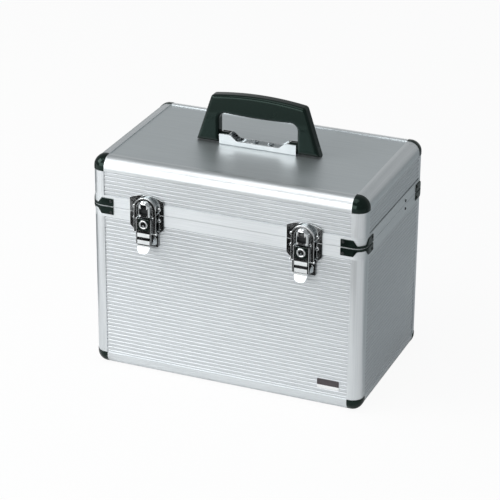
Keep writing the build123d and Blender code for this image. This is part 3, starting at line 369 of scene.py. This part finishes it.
chrome, tree, shader, place = material("steel_chromed", "dcdedf", 1.0, 0.08)
smear = add(tree, "ShaderNodeTexNoise", Scale=1, Detail=3, Vector=add(
    tree, "ShaderNodeMapping", Vector=place, Scale=per_mm(12, 12, 12)).outputs[0])
wave = add(tree, "ShaderNodeTexNoise", Scale=1, Detail=1, Vector=add(
    tree, "ShaderNodeMapping", Vector=place, Scale=per_mm(7, 7, 7)).outputs[0])
plate_colour = add(tree, "ShaderNodeValToRGB", Fac=smear.outputs["Fac"])
plate_colour.color_ramp.elements[0].position, plate_colour.color_ramp.elements[1].position = 0.3, 0.7
plate_colour.color_ramp.elements[0].color = tint("d6d9da")
plate_colour.color_ramp.elements[1].color = tint("e2e4e5")
tree.links.new(plate_colour.outputs[0], shader.inputs["Base Color"])
dull = add(tree, "ShaderNodeMapRange", Value=smear.outputs["Fac"], From_Min=0.35, From_Max=0.75, To_Min=0.06,
           To_Max=0.14)
tree.links.new(dull.outputs[0], shader.inputs["Roughness"])
bump = add(tree, "ShaderNodeBump", Strength=0.12, Distance=0.12 * mm, Height=wave.outputs["Fac"])
tree.links.new(bump.outputs[0], shader.inputs["Normal"])
dress(chrome, "body_rivets", "lid_rivets", "latch_left_pins", "latch_right_pins")


# Rivets of the rim brackets and of the stays: steel, blackened by oxide and a little oily. They go through
# the rims, and their heads show outside as small dark dots.

oxide, tree, shader, place = material("steel_black_oxide", "14181a", 0.0, 0.45)
patchy = add(tree, "ShaderNodeTexNoise", Scale=1, Detail=3, Vector=add(
    tree, "ShaderNodeMapping", Vector=place, Scale=per_mm(1.2, 1.2, 1.2)).outputs[0])
oxide_colour = add(tree, "ShaderNodeValToRGB", Fac=patchy.outputs["Fac"])
oxide_colour.color_ramp.elements[0].position, oxide_colour.color_ramp.elements[1].position = 0.35, 0.65
oxide_colour.color_ramp.elements[0].color = tint("0e1112")
oxide_colour.color_ramp.elements[1].color = tint("1d2224")
tree.links.new(oxide_colour.outputs[0], shader.inputs["Base Color"])
oily = add(tree, "ShaderNodeMapRange", Value=patchy.outputs["Fac"], From_Min=0.35, From_Max=0.65,
           To_Min=0.38, To_Max=0.52)
tree.links.new(oily.outputs[0], shader.inputs["Roughness"])
dress(oxide, "body_bracket_rivets", "lid_bracket_rivets", "stay_body_rivets", "stay_lid_rivets")


# Hinges, stays, screws, nuts and backing strips: steel with bright zinc plating. Duller and greyer than
# the chrome, with the faint spangle of the plating.

zinc, tree, shader, place = material("steel_zinc_plated", "b6babc", 1.0, 0.34)
spangle = add(tree, "ShaderNodeTexVoronoi", Scale=1, Vector=add(
    tree, "ShaderNodeMapping", Vector=place, Scale=per_mm(2.5, 2.5, 2.5)).outputs[0])
drawn = add(tree, "ShaderNodeTexNoise", Scale=1, Detail=3, Vector=add(
    tree, "ShaderNodeMapping", Vector=place, Scale=per_mm(9, 9, 1.2)).outputs[0])
zinc_colour = add(tree, "ShaderNodeValToRGB", Fac=drawn.outputs["Fac"])
zinc_colour.color_ramp.elements[0].position, zinc_colour.color_ramp.elements[1].position = 0.3, 0.7
zinc_colour.color_ramp.elements[0].color = tint("a9aeb1")
zinc_colour.color_ramp.elements[1].color = tint("c3c7c9")
tree.links.new(zinc_colour.outputs[0], shader.inputs["Base Color"])
tone = add(tree, "ShaderNodeSeparateXYZ", Vector=spangle.outputs["Color"])
dull = add(tree, "ShaderNodeMapRange", Value=tone.outputs["X"], To_Min=0.3, To_Max=0.4)
tree.links.new(dull.outputs[0], shader.inputs["Roughness"])
dress(zinc, "hinge_body_leaves", "hinge_lid_leaves", "hinge_pins", "handle_screws", "handle_pins",
      "handle_nuts", "handle_backing_strips", "stay_left_lower_arm", "stay_right_lower_arm",
      "stay_left_upper_arm", "stay_right_upper_arm")


# Latch metal: each latch is a base plate with two ears, a keeper plate, a bent lever with a finger tab and
# a claw loop. All are pressed from steel strip and chromed. They are modelled once, at the case's middle,
# and copied to both sides.

split, front = 221.8, -110.0
latch_at = 104.0


def alone(piece=None):
    """Leave edit mode, and select nothing, or only one piece."""
    if bpy.context.object and bpy.context.object.mode == "EDIT":
        bpy.ops.object.mode_set(mode="OBJECT")
    bpy.ops.object.select_all(action="DESELECT")
    if piece:
        bpy.context.view_layer.objects.active = piece
        piece.select_set(True)


def edit(piece):
    """Go into edit mode on one piece with nothing selected."""
    alone(piece)
    bpy.ops.object.mode_set(mode="EDIT")
    bpy.ops.mesh.select_all(action="DESELECT")


def block(name, x, y, z):
    """Add a box between two values on each axis, in millimetres, and open it for editing."""
    middle = [(low + high) / 2 * mm for low, high in (x, y, z)]
    alone()
    bpy.ops.mesh.primitive_cube_add(size=1, location=middle)
    piece = bpy.context.object
    piece.name = name
    piece.scale = [(high - low) * mm for low, high in (x, y, z)]
    bpy.ops.object.transform_apply(location=True, rotation=True, scale=True)
    edit(piece)
    return piece


def disc(name, radius, centre, length, axis, sides=64):
    """Add a cylinder round an axis through its centre, in millimetres, and open it for editing."""
    turn = {"X": (0, pi / 2, 0), "Y": (pi / 2, 0, 0), "Z": (0, 0, 0)}[axis]
    alone()
    bpy.ops.mesh.primitive_cylinder_add(vertices=sides, radius=radius * mm, depth=length * mm,
                                        location=Vector(centre) * mm, rotation=turn)
    piece = bpy.context.object
    piece.name = name
    bpy.ops.object.transform_apply(location=True, rotation=True, scale=True)
    edit(piece)
    return piece


def pick(kind, test):
    """Select only the vertices, edges or faces whose middle (in mm) and direction pass a test."""
    bpy.ops.mesh.select_mode(type=kind)
    bpy.ops.mesh.select_all(action="DESELECT")
    shape = bmesh.from_edit_mesh(bpy.context.object.data)
    if kind == "VERT":
        parts = [(v, v.co, v.normal) for v in shape.verts]
    elif kind == "EDGE":
        parts = [(e, (e.verts[0].co + e.verts[1].co) / 2, (e.verts[1].co - e.verts[0].co).normalized())
                 for e in shape.edges]
    else:
        parts = [(f, f.calc_center_median(), f.normal) for f in shape.faces]
    for part, middle, way in parts:
        if test(middle / mm, way):
            part.select_set(True)
    bmesh.update_edit_mesh(bpy.context.object.data)


def shift(x=0, y=0, z=0):
    """Move what is selected, in millimetres."""
    bpy.ops.transform.translate(value=(x * mm, y * mm, z * mm))


def bevel(width, segments):
    """Round the selected edges, with the width in millimetres."""
    bpy.ops.mesh.bevel(offset=width * mm, segments=segments, affect="EDGES")


def cut(point, normal, clear=False):
    """Cut the mesh with a plane, and drop what lies on the normal's side if asked."""
    bpy.ops.mesh.select_mode(type="FACE")
    bpy.ops.mesh.select_all(action="SELECT")
    bpy.ops.mesh.bisect(plane_co=Vector(point) * mm, plane_no=normal, use_fill=clear, clear_outer=clear)
    bpy.ops.mesh.select_all(action="DESELECT")


def put_on(piece, kind, **settings):
    """Leave edit mode, add a modifier and apply it."""
    alone(piece)
    modifier = piece.modifiers.new(kind.lower(), kind)
    for name, value in settings.items():
        setattr(modifier, name, value)
    bpy.ops.object.modifier_apply(modifier=modifier.name)


def bore(piece, cutter):
    """Cut one closed shape out of another."""
    put_on(piece, "BOOLEAN", operation="DIFFERENCE", object=cutter, solver="EXACT")
    bpy.data.objects.remove(cutter)


def joined(name, pieces):
    """Make one mesh of several."""
    alone(pieces[0])
    for piece in pieces:
        piece.select_set(True)
    bpy.ops.object.join()
    whole = bpy.context.object
    whole.name = name
    return whole


def outward():
    """Turn all faces of a closed mesh outwards, once its doubles are merged."""
    bpy.ops.mesh.select_all(action="SELECT")
    bpy.ops.mesh.remove_doubles(threshold=0.001 * mm)
    bpy.ops.mesh.normals_make_consistent(inside=False)
    bpy.ops.mesh.select_all(action="DESELECT")


def finished(piece, made, angle=32):
    """Shade a piece, smooth below an angle, and give it its material."""
    alone(piece)
    bpy.ops.object.shade_smooth_by_angle(angle=radians(angle))
    put_on(piece, "WEIGHTED_NORMAL", keep_sharp=True)
    piece.data.materials.clear()
    piece.data.materials.append(made)
    return piece


def both_latches(piece, ending, body):
    """Copy a latch piece, drawn at the middle, to both latches, in the CAD node's place."""
    for side, x in (("left", -latch_at), ("right", latch_at)):
        mine = bpy.data.objects.new(f"{side}_latch_{ending}", piece.data.copy())
        mine.data.transform(Matrix.Translation((x * mm, 0, 0)))
        scene.collection.objects.link(mine)
        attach(mine, body.format(side))
        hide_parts(f"latch_{side}_{ending.split('.')[0]}")
    bpy.data.objects.remove(piece)


plate_half, narrow_half, plate_thick = 23.0, 15.5, 1.2
split_gap, taper_top, taper_end, plate_foot = 0.2, 18.8, 25.8, 43.8
strip_corner, pressed_edge = 1.6, 0.2
ear_radius, pivot_out, pivot_low = 3.4, 6.5, 8.3
ear_inner, ear_outer, ear_root, ear_round, ear_spread = 8, 9, 1.1, 3.2, 3.4
plate = block("plate", (-plate_half, plate_half), (front - plate_thick, front),
              (split - plate_foot, split - split_gap))
cut((0, 0, split - taper_top), (0, 0, 1))
cut((0, 0, split - taper_end), (0, 0, 1))
pick("VERT", lambda at, way: at.z < split - taper_end + 0.1)
bpy.ops.transform.resize(value=(narrow_half / plate_half, 1, 1), center_override=(0, 0, 0))
bpy.ops.mesh.select_all(action="SELECT")
bpy.ops.mesh.dissolve_limited(angle_limit=radians(1))
pick("EDGE", lambda at, way: abs(way.y) > 0.9 and at.z < split - 10)
bevel(strip_corner, 5)
pick("EDGE", lambda at, way: at.y < front - plate_thick + 0.01 and abs(way.y) < 0.1)
bevel(pressed_edge, 2)
ears = []
for sign in (-1, 1):
    ear = block("ear", sorted((sign * ear_inner, sign * ear_outer)),
                (front - pivot_out - ear_radius, front - ear_root),
                (split - pivot_low - ear_radius, split - pivot_low + ear_radius))
    pick("EDGE", lambda at, way: abs(way.x) > 0.9 and at.y < front - 5)
    bevel(ear_round, 6)
    pick("VERT", lambda at, way: at.y > front - 2 and at.z < split - pivot_low)
    shift(z=-ear_spread)
    ears.append(ear)
both_latches(finished(joined("plate", [plate, *ears]), chrome), "plate", "body")

arch_rise, keeper_top = 5.8, 23.8
arch_radius = (plate_half ** 2 + arch_rise ** 2) / (2 * arch_rise)
keeper = disc("keeper", arch_radius, (0, front - plate_thick / 2, split + keeper_top - arch_radius),
              plate_thick, "Y", 256)
cut((0, 0, split + split_gap), (0, 0, -1), clear=True)
cut((plate_half, 0, 0), (1, 0, 0), clear=True)
cut((-plate_half, 0, 0), (-1, 0, 0), clear=True)
pick("EDGE", lambda at, way: abs(way.y) > 0.9 and abs(at.x) > plate_half - 0.1 and at.z > split + 10)
bevel(strip_corner, 4)
pick("EDGE", lambda at, way: at.y < front - plate_thick + 0.01 and abs(way.y) < 0.1 and (
    abs(at.x) > plate_half - 1.7 or at.z < split + 1 or at.z > split + 17))
bevel(pressed_edge, 2)
loop_centre = 7.5


def half_ring(name, x, out):
    """A half ring over the keeper's middle: a cross-section spun round the loop's centre."""
    alone()
    bpy.ops.mesh.primitive_plane_add(size=1, location=(sum(x) / 2 * mm, (front - sum(out) / 2) * mm,
                                                       (split + loop_centre) * mm))
    ring = bpy.context.object
    ring.name = name
    ring.scale = ((x[1] - x[0]) * mm, (out[1] - out[0]) * mm, 1)
    bpy.ops.object.transform_apply(location=True, rotation=True, scale=True)
    edit(ring)
    bpy.ops.mesh.select_all(action="SELECT")
    bpy.ops.mesh.spin(steps=28, angle=pi, center=(0, front * mm, (split + loop_centre) * mm), axis=(0, 1, 0))
    outward()
    return ring


ring_inner, lip_outer, lip_root, lip_face = 10.6, 12.4, 0.6, 5.2
lip = half_ring("lip", (ring_inner, lip_outer), (lip_root, lip_face))
pick("EDGE", lambda at, way: at.y < front - lip_face + 0.1 and abs(way.y) < 0.1
     and at.z > split + loop_centre + 0.1)
bevel(0.3, 2)
both_latches(finished(joined("keeper", [keeper, lip]), chrome), "keeper", "lid")

lever_half, face_out, back_out, lever_thick = 10.2, 12.0, 2.2, 1.0
lever_top, lever_low = -3.8, -37.3
lever = block("lever", (-lever_half, lever_half), (front - face_out, front - back_out),
              (split + lever_low, split + lever_top))
cut((0, front - 9, split + lever_low), (0, 22.5, -6.8), clear=True)
pick("EDGE", lambda at, way: abs(way.x) > 0.9 and at.y > front - 2.3 and at.z > split - 5)
bevel(4.0, 6)
pick("EDGE", lambda at, way: abs(way.z) > 0.9 and at.y < front - 11.9)
bevel(0.7, 4)
pick("FACE", lambda at, way: abs(way.x) < 0.1 and way.y > -0.5)
bpy.ops.mesh.delete(type="FACE")
put_on(lever, "SOLIDIFY", thickness=lever_thick * mm, offset=-1, use_even_offset=True)
edit(lever)
hole_half, hole_low, hole_top = 7.3, 18.6, 4.2
hole = block("hole", (-hole_half, hole_half), (front - 14, front - 9), (split - hole_low, split - hole_top))
bore(lever, hole)

# Two ridges pressed out of the lever's foot, sloped at the top, and below them the curled finger tab.
ridge_half, ridge_out, slope_out = 8.4, 12.7, 11.8
ridges = []
for low, high in ((-28.2, -21.6), (-37.6, -31.0)):
    ridge = block("ridge", (-ridge_half, ridge_half), (front - ridge_out, front - 11.2),
                  (split + low, split + high))
    pick("EDGE", lambda at, way: abs(way.x) > 0.9 and at.y < front - 12 and at.z > split + high - 0.1)
    shift(y=ridge_out - slope_out)
    pick("EDGE", lambda at, way: at.y < front - 11.5)
    bevel(0.35, 3)
    ridges.append(ridge)
tab_top, tab_root = 36.4, 40.6
tab = block("tab", (-ridge_half, ridge_half), (front - face_out, front - face_out + lever_thick),
            (split - tab_root, split - tab_top))
pick("FACE", lambda at, way: way.z < -0.9)
for drop, out, taper in ((-2.1, 0.9, 0.96), (-2.9, 1.5, 0.88), (-3.2, 1.6, 0.74)):
    bpy.ops.mesh.extrude_region_move(TRANSFORM_OT_translate={"value": (0, -out * mm, drop * mm)})
    bpy.ops.transform.resize(value=(taper, 1, 1), center_override=(0, 0, 0))
pick("EDGE", lambda at, way: abs(way.y) > 0.5 and at.z < split - 48.5)
bevel(3.2, 5)
pick("EDGE", lambda at, way: abs(at.x) > 5 and abs(way.x) < 0.6 and abs(way.z) > 0.5)
bevel(0.3, 2)
both_latches(finished(joined("lever", [lever, *ridges, tab]), chrome), "lever", "{}_lever")

# The claw: a loop whose arms reach down to the lever's eyes, a sheet inside it, and a hood with a window.
arm_outer, arm_back, arm_face, arm_reach = 14.8, 5.5, 8.0, 31.3
arm = half_ring("arm", (ring_inner, arm_outer), (arm_back, arm_face))
pick("FACE", lambda at, way: way.z < -0.9 and at.z < split + loop_centre + 0.1)
bpy.ops.mesh.extrude_region_move(TRANSFORM_OT_translate={"value": (0, 0, -arm_reach * mm)})
pick("EDGE", lambda at, way: abs(way.y) < 0.2 and (abs(way.x) < 0.95 or at.z > split + loop_centre + 1))
bevel(0.45, 3)
eye_radius, eye_at, eye_out, eye_low, eye_long = 1.3, 12.7, 6.75, 23.8, 4.2
eyes = []
for sign in (-1, 1):
    eyes.append(disc("eye", eye_radius, (sign * eye_at, front - eye_out, split - eye_low), eye_long, "X", 32))
    pick("EDGE", lambda at, way: abs(way.x) < 0.1)
    bevel(0.2, 2)
sheet_radius, sheet_out, sheet_reach = 11.1, 6.0, 8.7
sheet = disc("sheet", sheet_radius, (0, front - sheet_out, split + loop_centre), 1.0, "Y", 64)
cut((0, 0, split + loop_centre), (0, 0, -1), clear=True)
pick("FACE", lambda at, way: way.z < -0.9)
bpy.ops.mesh.extrude_region_move(TRANSFORM_OT_translate={"value": (0, 0, -sheet_reach * mm)})
hood_radius, hood_out, hood_deep, hood_centre, hood_reach = 8.0, 8.75, 6.5, 10.8, 12.0
hood = disc("hood", hood_radius, (0, front - hood_out, split + hood_centre), hood_deep, "Y", 64)
cut((0, 0, split + hood_centre), (0, 0, -1), clear=True)
pick("FACE", lambda at, way: way.z < -0.9)
bpy.ops.mesh.extrude_region_move(TRANSFORM_OT_translate={"value": (0, 0, -hood_reach * mm)})
pick("EDGE", lambda at, way: at.y < front - 11.9 and abs(way.y) < 0.1 and at.z > split - 1.1)
bevel(4.6, 8)
window_half, window_low, window_top, window_back = 6, 1.4, 9.4, 7.2
window = block("window", (-window_half, window_half), (front - 14, front - window_back),
               (split + window_low, split + window_top))
pick("EDGE", lambda at, way: abs(way.y) > 0.9 and at.z > split + 9)
bevel(1.5, 4)
bore(hood, window)
claw = finished(joined("claw", [arm, *eyes, sheet, hood]), chrome)

# The window's inner faces get the dark oxide as painted shade for the shadowed hollow, which shows dark on
# the right latch.
claw.data.materials.append(oxide)
edit(claw)
pick("FACE", lambda at, way: abs(at.x) < window_half + 0.1
     and split + window_low - 0.1 < at.z < split + window_top + 0.1
     and front - 11.9 < at.y < front - window_back + 0.2)
claw.active_material_index = 1
bpy.ops.object.material_slot_assign()
alone()
both_latches(claw, "claw", "{}_claw")


# Key locks: a square black plastic housing set in each lever, with a plated brass cylinder that has a
# round collar and a key slot. A quarter turn moves the cam behind it.

lock_low = 11.3
bezel_half, bezel_out, bezel_back = 7.2, 12.3, 10.6
bezel = block("bezel", (-bezel_half, bezel_half), (front - bezel_out, front - bezel_back),
              (split - lock_low - bezel_half, split - lock_low + bezel_half))
pick("FACE", lambda at, way: way.y < -0.9)
bpy.ops.mesh.inset(thickness=0.9 * mm)
bpy.ops.mesh.extrude_region_move(TRANSFORM_OT_translate={"value": (0, 0.7 * mm, 0)})
pick("EDGE", lambda at, way: at.y < front - 12.2)
bevel(0.25, 2)
well_radius, barrel_radius, barrel_long = 4.7, 4.2, 4.4
well = disc("well", well_radius, (0, front - 11, split - lock_low), 6, "Y", 48)
bore(bezel, well)
both_latches(finished(bezel, plastic), "bezel", "{}_lever")

barrel = disc("barrel", barrel_radius, (0, front - 10.0, split - lock_low), barrel_long, "Y", 48)
pick("EDGE", lambda at, way: at.y < front - 12.1 and abs(way.y) < 0.1)
bevel(0.5, 3)
alone()
collar_radius, collar_bead = 4.9, 1.0
bpy.ops.mesh.primitive_torus_add(major_segments=48, minor_segments=16, major_radius=collar_radius * mm,
                                 minor_radius=collar_bead * mm, rotation=(pi / 2, 0, 0),
                                 location=(0, (front - face_out) * mm, (split - lock_low) * mm))
collar = bpy.context.object
collar.name = "collar"
bpy.ops.object.transform_apply(location=True, rotation=True, scale=True)
key_half, key_high, cam_half, cam_reach = 0.5, 2.5, 1.5, 6.6
keyway = block("keyway", (-key_half, key_half), (front - 14, front - 10.5),
               (split - lock_low - key_high, split - lock_low + key_high))
bore(barrel, keyway)
cam = block("cam", (-cam_half, cam_half), (front - 8.9, front - 7.9),
            (split - lock_low - cam_reach, split - lock_low))
both_latches(finished(joined("lock", [barrel, collar, cam]), chrome), "lock", "{}_lock")


# Rim brackets: glossy black ABS like the caps, in a lid half and a body half at each corner. They stop just
# short of the rims' edges, so that a line of bare metal shows between the halves.

case_x, case_y, corner_round = 180.0, 110.0, 14.0
sleeve, sleeve_reach_x, sleeve_reach_y = 1.2, 30.0, 29.0
sleeve_high, sleeve_neck, sleeve_back, sleeve_slope = 10.6, 3.6, 0.8, 5


def rim_sleeve(name, sign, body):
    """Half a bracket, drawn round the front left corner and mirrored to the other three."""
    near, far = split + sign * sleeve_back, split + sign * sleeve_high
    half = block(name, (-case_x - sleeve, -case_x + sleeve_reach_x),
                 (-case_y - sleeve, -case_y + sleeve_reach_y), sorted((near, far)))
    pick("FACE", lambda at, way: way.x > 0.9 or way.y > 0.9 or abs(way.z) > 0.9)
    bpy.ops.mesh.delete(type="FACE")
    pick("EDGE", lambda at, way: abs(way.z) > 0.9 and at.x < -case_x and at.y < -case_y)
    steps, bend = 16, corner_round + sleeve
    bevel(bend, steps)
    for step in range(steps + 1):
        angle = step * pi / 2 / steps
        x, y = -case_x + corner_round - bend * sin(angle), -case_y + corner_round - bend * cos(angle)
        drop = min(1, (-case_x + corner_round - x) / sleeve_slope,
                   max(0, (-case_y + corner_round - 1 - y) / sleeve_slope))
        pick("VERT", lambda at, way: abs(at.x - x) < 0.3 and abs(at.y - y) < 0.3 and abs(at.z - far) < 0.01)
        shift(z=-sign * drop * (sleeve_high - sleeve_neck))
    put_on(half, "SOLIDIFY", thickness=sleeve * mm, offset=-1, use_even_offset=True)
    edit(half)
    pick("EDGE", lambda at, way: abs(way.z) < 0.85 and (
        at.y < -case_y - 1.1 or at.x < -case_x - 1.1
        or ((at.x + case_x - corner_round) ** 2 + (at.y + case_y - corner_round) ** 2 > (bend - 0.1) ** 2
            and at.x < -case_x + corner_round and at.y < -case_y + corner_round)))
    bevel(0.35, 3)
    alone()
    halves = [half]
    for x, y in ((-1, 1), (1, -1), (-1, -1)):
        turned_half = bpy.data.objects.new(name, half.data.copy())
        turned_half.data.transform(Matrix.Diagonal((x, y, 1, 1)))
        if x * y < 0:
            turned_half.data.flip_normals()
        scene.collection.objects.link(turned_half)
        halves.append(turned_half)
    whole = finished(joined(name, halves), plastic)
    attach(whole, body)
    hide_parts(name)


rim_sleeve("body_rim_brackets", -1, "body")
rim_sleeve("lid_rim_brackets", 1, "lid")


# Handle bracket: a channel pressed from steel strip and chromed, with high ends that hold the handle's
# pins and an upright ear inside each end. Four screws through the top board hold it to backing strips.

lid_top = 284.0
channel_half, channel_wide, channel_high = 51.4, 7.6, 13.8
bracket = block("handle_channel", (-channel_half, channel_half), (-channel_wide, channel_wide),
                (lid_top, lid_top + channel_high))
pick("FACE", lambda at, way: way.z > 0.9 or abs(way.x) > 0.9)
bpy.ops.mesh.delete(type="FACE")
# Where the high ends begin, and how far the sides are cut down from there to the low middle.
end_at = 38.0
dips = ((35.5, 0.9), (32.5, 3.6), (29.5, 6.3), (27.0, 7.2))
for x in (end_at, *[at for at, drop in dips]):
    for sign in (-1, 1):
        cut((sign * x, 0, 0), (1, 0, 0))
for x, drop in dips:
    pick("VERT", lambda at, way: abs(abs(at.x) - x) < 0.1 and at.z > lid_top + 10)
    shift(z=-drop)
pick("EDGE", lambda at, way: abs(way.x) > 0.9 and at.z < lid_top + 0.1)
bevel(1.3, 4)
channel_thick, end_ear_half = 1.2, 6.9
put_on(bracket, "SOLIDIFY", thickness=channel_thick * mm, offset=-1, use_even_offset=True)
ears = []
for sign in (-1, 1):
    ears.append(block("ear", sorted((sign * 38.6, sign * 40.1)), (-end_ear_half, end_ear_half),
                      (lid_top + 0.6, lid_top + 13.4)))
    pick("EDGE", lambda at, way: abs(way.x) > 0.9 and at.z > lid_top + 10)
    bevel(2.5, 5)
bracket = finished(joined("handle_channel", [bracket, *ears]), chrome)
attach(bracket, "lid")
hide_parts("handle_bracket")


# Lining: needled felt 1.5 mm thick, cut in strips and sheets and glued to the boards. One strip runs round
# the walls of the body and one round the lid's, and one sheet lies on the floor. Dull and fuzzy, near black.

felt, tree, shader, place = material("polyester_felt_needled", "1b1b1d", 0.0, 0.95)
fibre = add(tree, "ShaderNodeTexNoise", Scale=1, Detail=5, Roughness=0.7, Vector=add(
    tree, "ShaderNodeMapping", Vector=place, Scale=per_mm(0.9, 0.9, 0.9)).outputs[0])
nap = add(tree, "ShaderNodeTexNoise", Scale=1, Detail=2, Vector=add(
    tree, "ShaderNodeMapping", Vector=place, Scale=per_mm(25, 25, 25)).outputs[0])
blend = add(tree, "ShaderNodeMix", {"data_type": "FLOAT"}, i0=0.35, i2=fibre.outputs["Fac"],
            i3=nap.outputs["Fac"])
fibre_colour = add(tree, "ShaderNodeValToRGB", Fac=blend.outputs[0])
fibre_colour.color_ramp.elements[0].position, fibre_colour.color_ramp.elements[1].position = 0.35, 0.65
fibre_colour.color_ramp.elements[0].color = tint("141416")
fibre_colour.color_ramp.elements[1].color = tint("2b2b2e")
tree.links.new(fibre_colour.outputs[0], shader.inputs["Base Color"])
shader.inputs["Sheen Weight"].default_value = 0.35
shader.inputs["Sheen Roughness"].default_value = 0.5
bump = add(tree, "ShaderNodeBump", Strength=0.6, Distance=0.25 * mm, Height=fibre.outputs["Fac"])
tree.links.new(bump.outputs[0], shader.inputs["Normal"])

lining_x, lining_y, felt_thick, felt_corner = 173.5, 103.5, 1.5, 3.0
body_floor = 6.5


def wall_felt(name, z, body, node):
    """A strip of felt round four walls, with soft corners."""
    strip = block(name, (-lining_x, lining_x), (-lining_y, lining_y), z)
    pick("FACE", lambda at, way: abs(way.z) > 0.9)
    bpy.ops.mesh.delete(type="ONLY_FACE")
    pick("EDGE", lambda at, way: abs(way.z) > 0.9)
    bevel(felt_corner, 4)
    for x in range(-150, 151, 25):
        cut((x, 0, 0), (1, 0, 0))
    for y in range(-75, 76, 25):
        cut((0, y, 0), (0, 1, 0))
    for height in (z[0] + 0.33 * (z[1] - z[0]), z[0] + 0.66 * (z[1] - z[0])):
        cut((0, 0, height), (0, 0, 1))
    put_on(strip, "SOLIDIFY", thickness=felt_thick * mm, offset=-1, use_even_offset=True)
    strip = finished(strip, felt, 50)
    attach(strip, body)
    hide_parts(node)


wall_felt("body_wall_felt", (8.0, 205.0), "body", "body_lining")
wall_felt("lid_wall_felt", (237.5, 278.5), "lid", "lid_wall_lining")

floor_felt = block("body_floor_felt", (-lining_x, lining_x), (-lining_y, lining_y),
                   (body_floor, body_floor + felt_thick))
pick("EDGE", lambda at, way: abs(way.z) > 0.9)
bevel(felt_corner, 4)
pick("EDGE", lambda at, way: at.z > body_floor + felt_thick - 0.1 and abs(way.z) < 0.1)
bevel(0.5, 2)
floor_felt = finished(floor_felt, felt, 50)
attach(floor_felt, "body")
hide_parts("body_lining")


# Lid pad: a thin sheet of foam with felt over it, glued under the top board. It bulges a little between
# its pulled-down edges, and its back has room for the nuts and strips of the handle.

pad_x, pad_y, pad_low, pad_high = 171.6, 101.6, 274.5, 278.5
pad_corner, pad_edge, pad_bulge, bulge_steps = 6.0, 2.4, 0.7, 5
pad = block("lid_foam_pad", (-pad_x, pad_x), (-pad_y, pad_y), (pad_low + pad_bulge, pad_high))
pick("EDGE", lambda at, way: abs(way.z) > 0.9)
bevel(pad_corner, 4)
pick("EDGE", lambda at, way: abs(way.z) < 0.1 and at.z < pad_low + 1)
bevel(pad_edge, bulge_steps)
for x in range(-162, 163, 9):
    cut((x, 0, 0), (1, 0, 0))
for y in range(-90, 91, 9):
    cut((0, y, 0), (0, 1, 0))
for step in range(1, bulge_steps + 1):
    inset = 12 * step
    pick("VERT", lambda at, way: at.z < pad_low + 0.8 and abs(at.x) < pad_x - inset
         and abs(at.y) < pad_y - inset)
    shift(z=-0.13)
pad = finished(pad, felt, 50)
for sign in (-1, 1):
    pocket = block("pocket", sorted((sign * -1, sign * 45)), (-7.5, 7.5), (275.5, 279.5))
    bore(pad, pocket)
pad = finished(pad, felt, 50)
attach(pad, "lid")
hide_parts("lid_pad")


# Bare plate: a thin aluminium plate glued low on the front, enamelled dark above and white below, with
# nothing printed on it.

label, tree, shader, place = material("aluminium_sheet_enamelled", "e6e7e8", 0.0, 0.3)
spot = add(tree, "ShaderNodeSeparateXYZ", Vector=place)
mottle = add(tree, "ShaderNodeTexNoise", Scale=1, Detail=3, Vector=add(
    tree, "ShaderNodeMapping", Vector=place, Scale=per_mm(1.5, 1.5, 1.5)).outputs[0])
tone = add(tree, "ShaderNodeValToRGB", Fac=mottle.outputs["Fac"])
tone.color_ramp.elements[0].color, tone.color_ramp.elements[1].color = tint("3a3537"), tint("4c4648")
field_split = 31.0
upper = add(tree, "ShaderNodeMath", {"operation": "GREATER_THAN"}, i0=spot.outputs["Z"],
            i1=field_split * mm)
fields = add(tree, "ShaderNodeMix", {"data_type": "RGBA"}, i0=upper.outputs[0], i6=tint("eceded"),
             i7=tone.outputs[0])
tree.links.new(fields.outputs[2], shader.inputs["Base Color"])
gloss = add(tree, "ShaderNodeMapRange", Value=mottle.outputs["Fac"], To_Min=0.24, To_Max=0.36)
tree.links.new(gloss.outputs[0], shader.inputs["Roughness"])
blank_x, blank_y, blank_z = (123.5, 152.0), (-109.8, -109.0), (26.5, 39.0)
blank = block("blank_plate", blank_x, blank_y, blank_z)
pick("EDGE", lambda at, way: abs(way.y) > 0.9)
bevel(1.0, 4)
pick("EDGE", lambda at, way: at.y < blank_y[0] + 0.01)
bevel(0.2, 2)
blank = finished(blank, label)
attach(blank, "body")
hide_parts("front_blank_plate")

low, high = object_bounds()
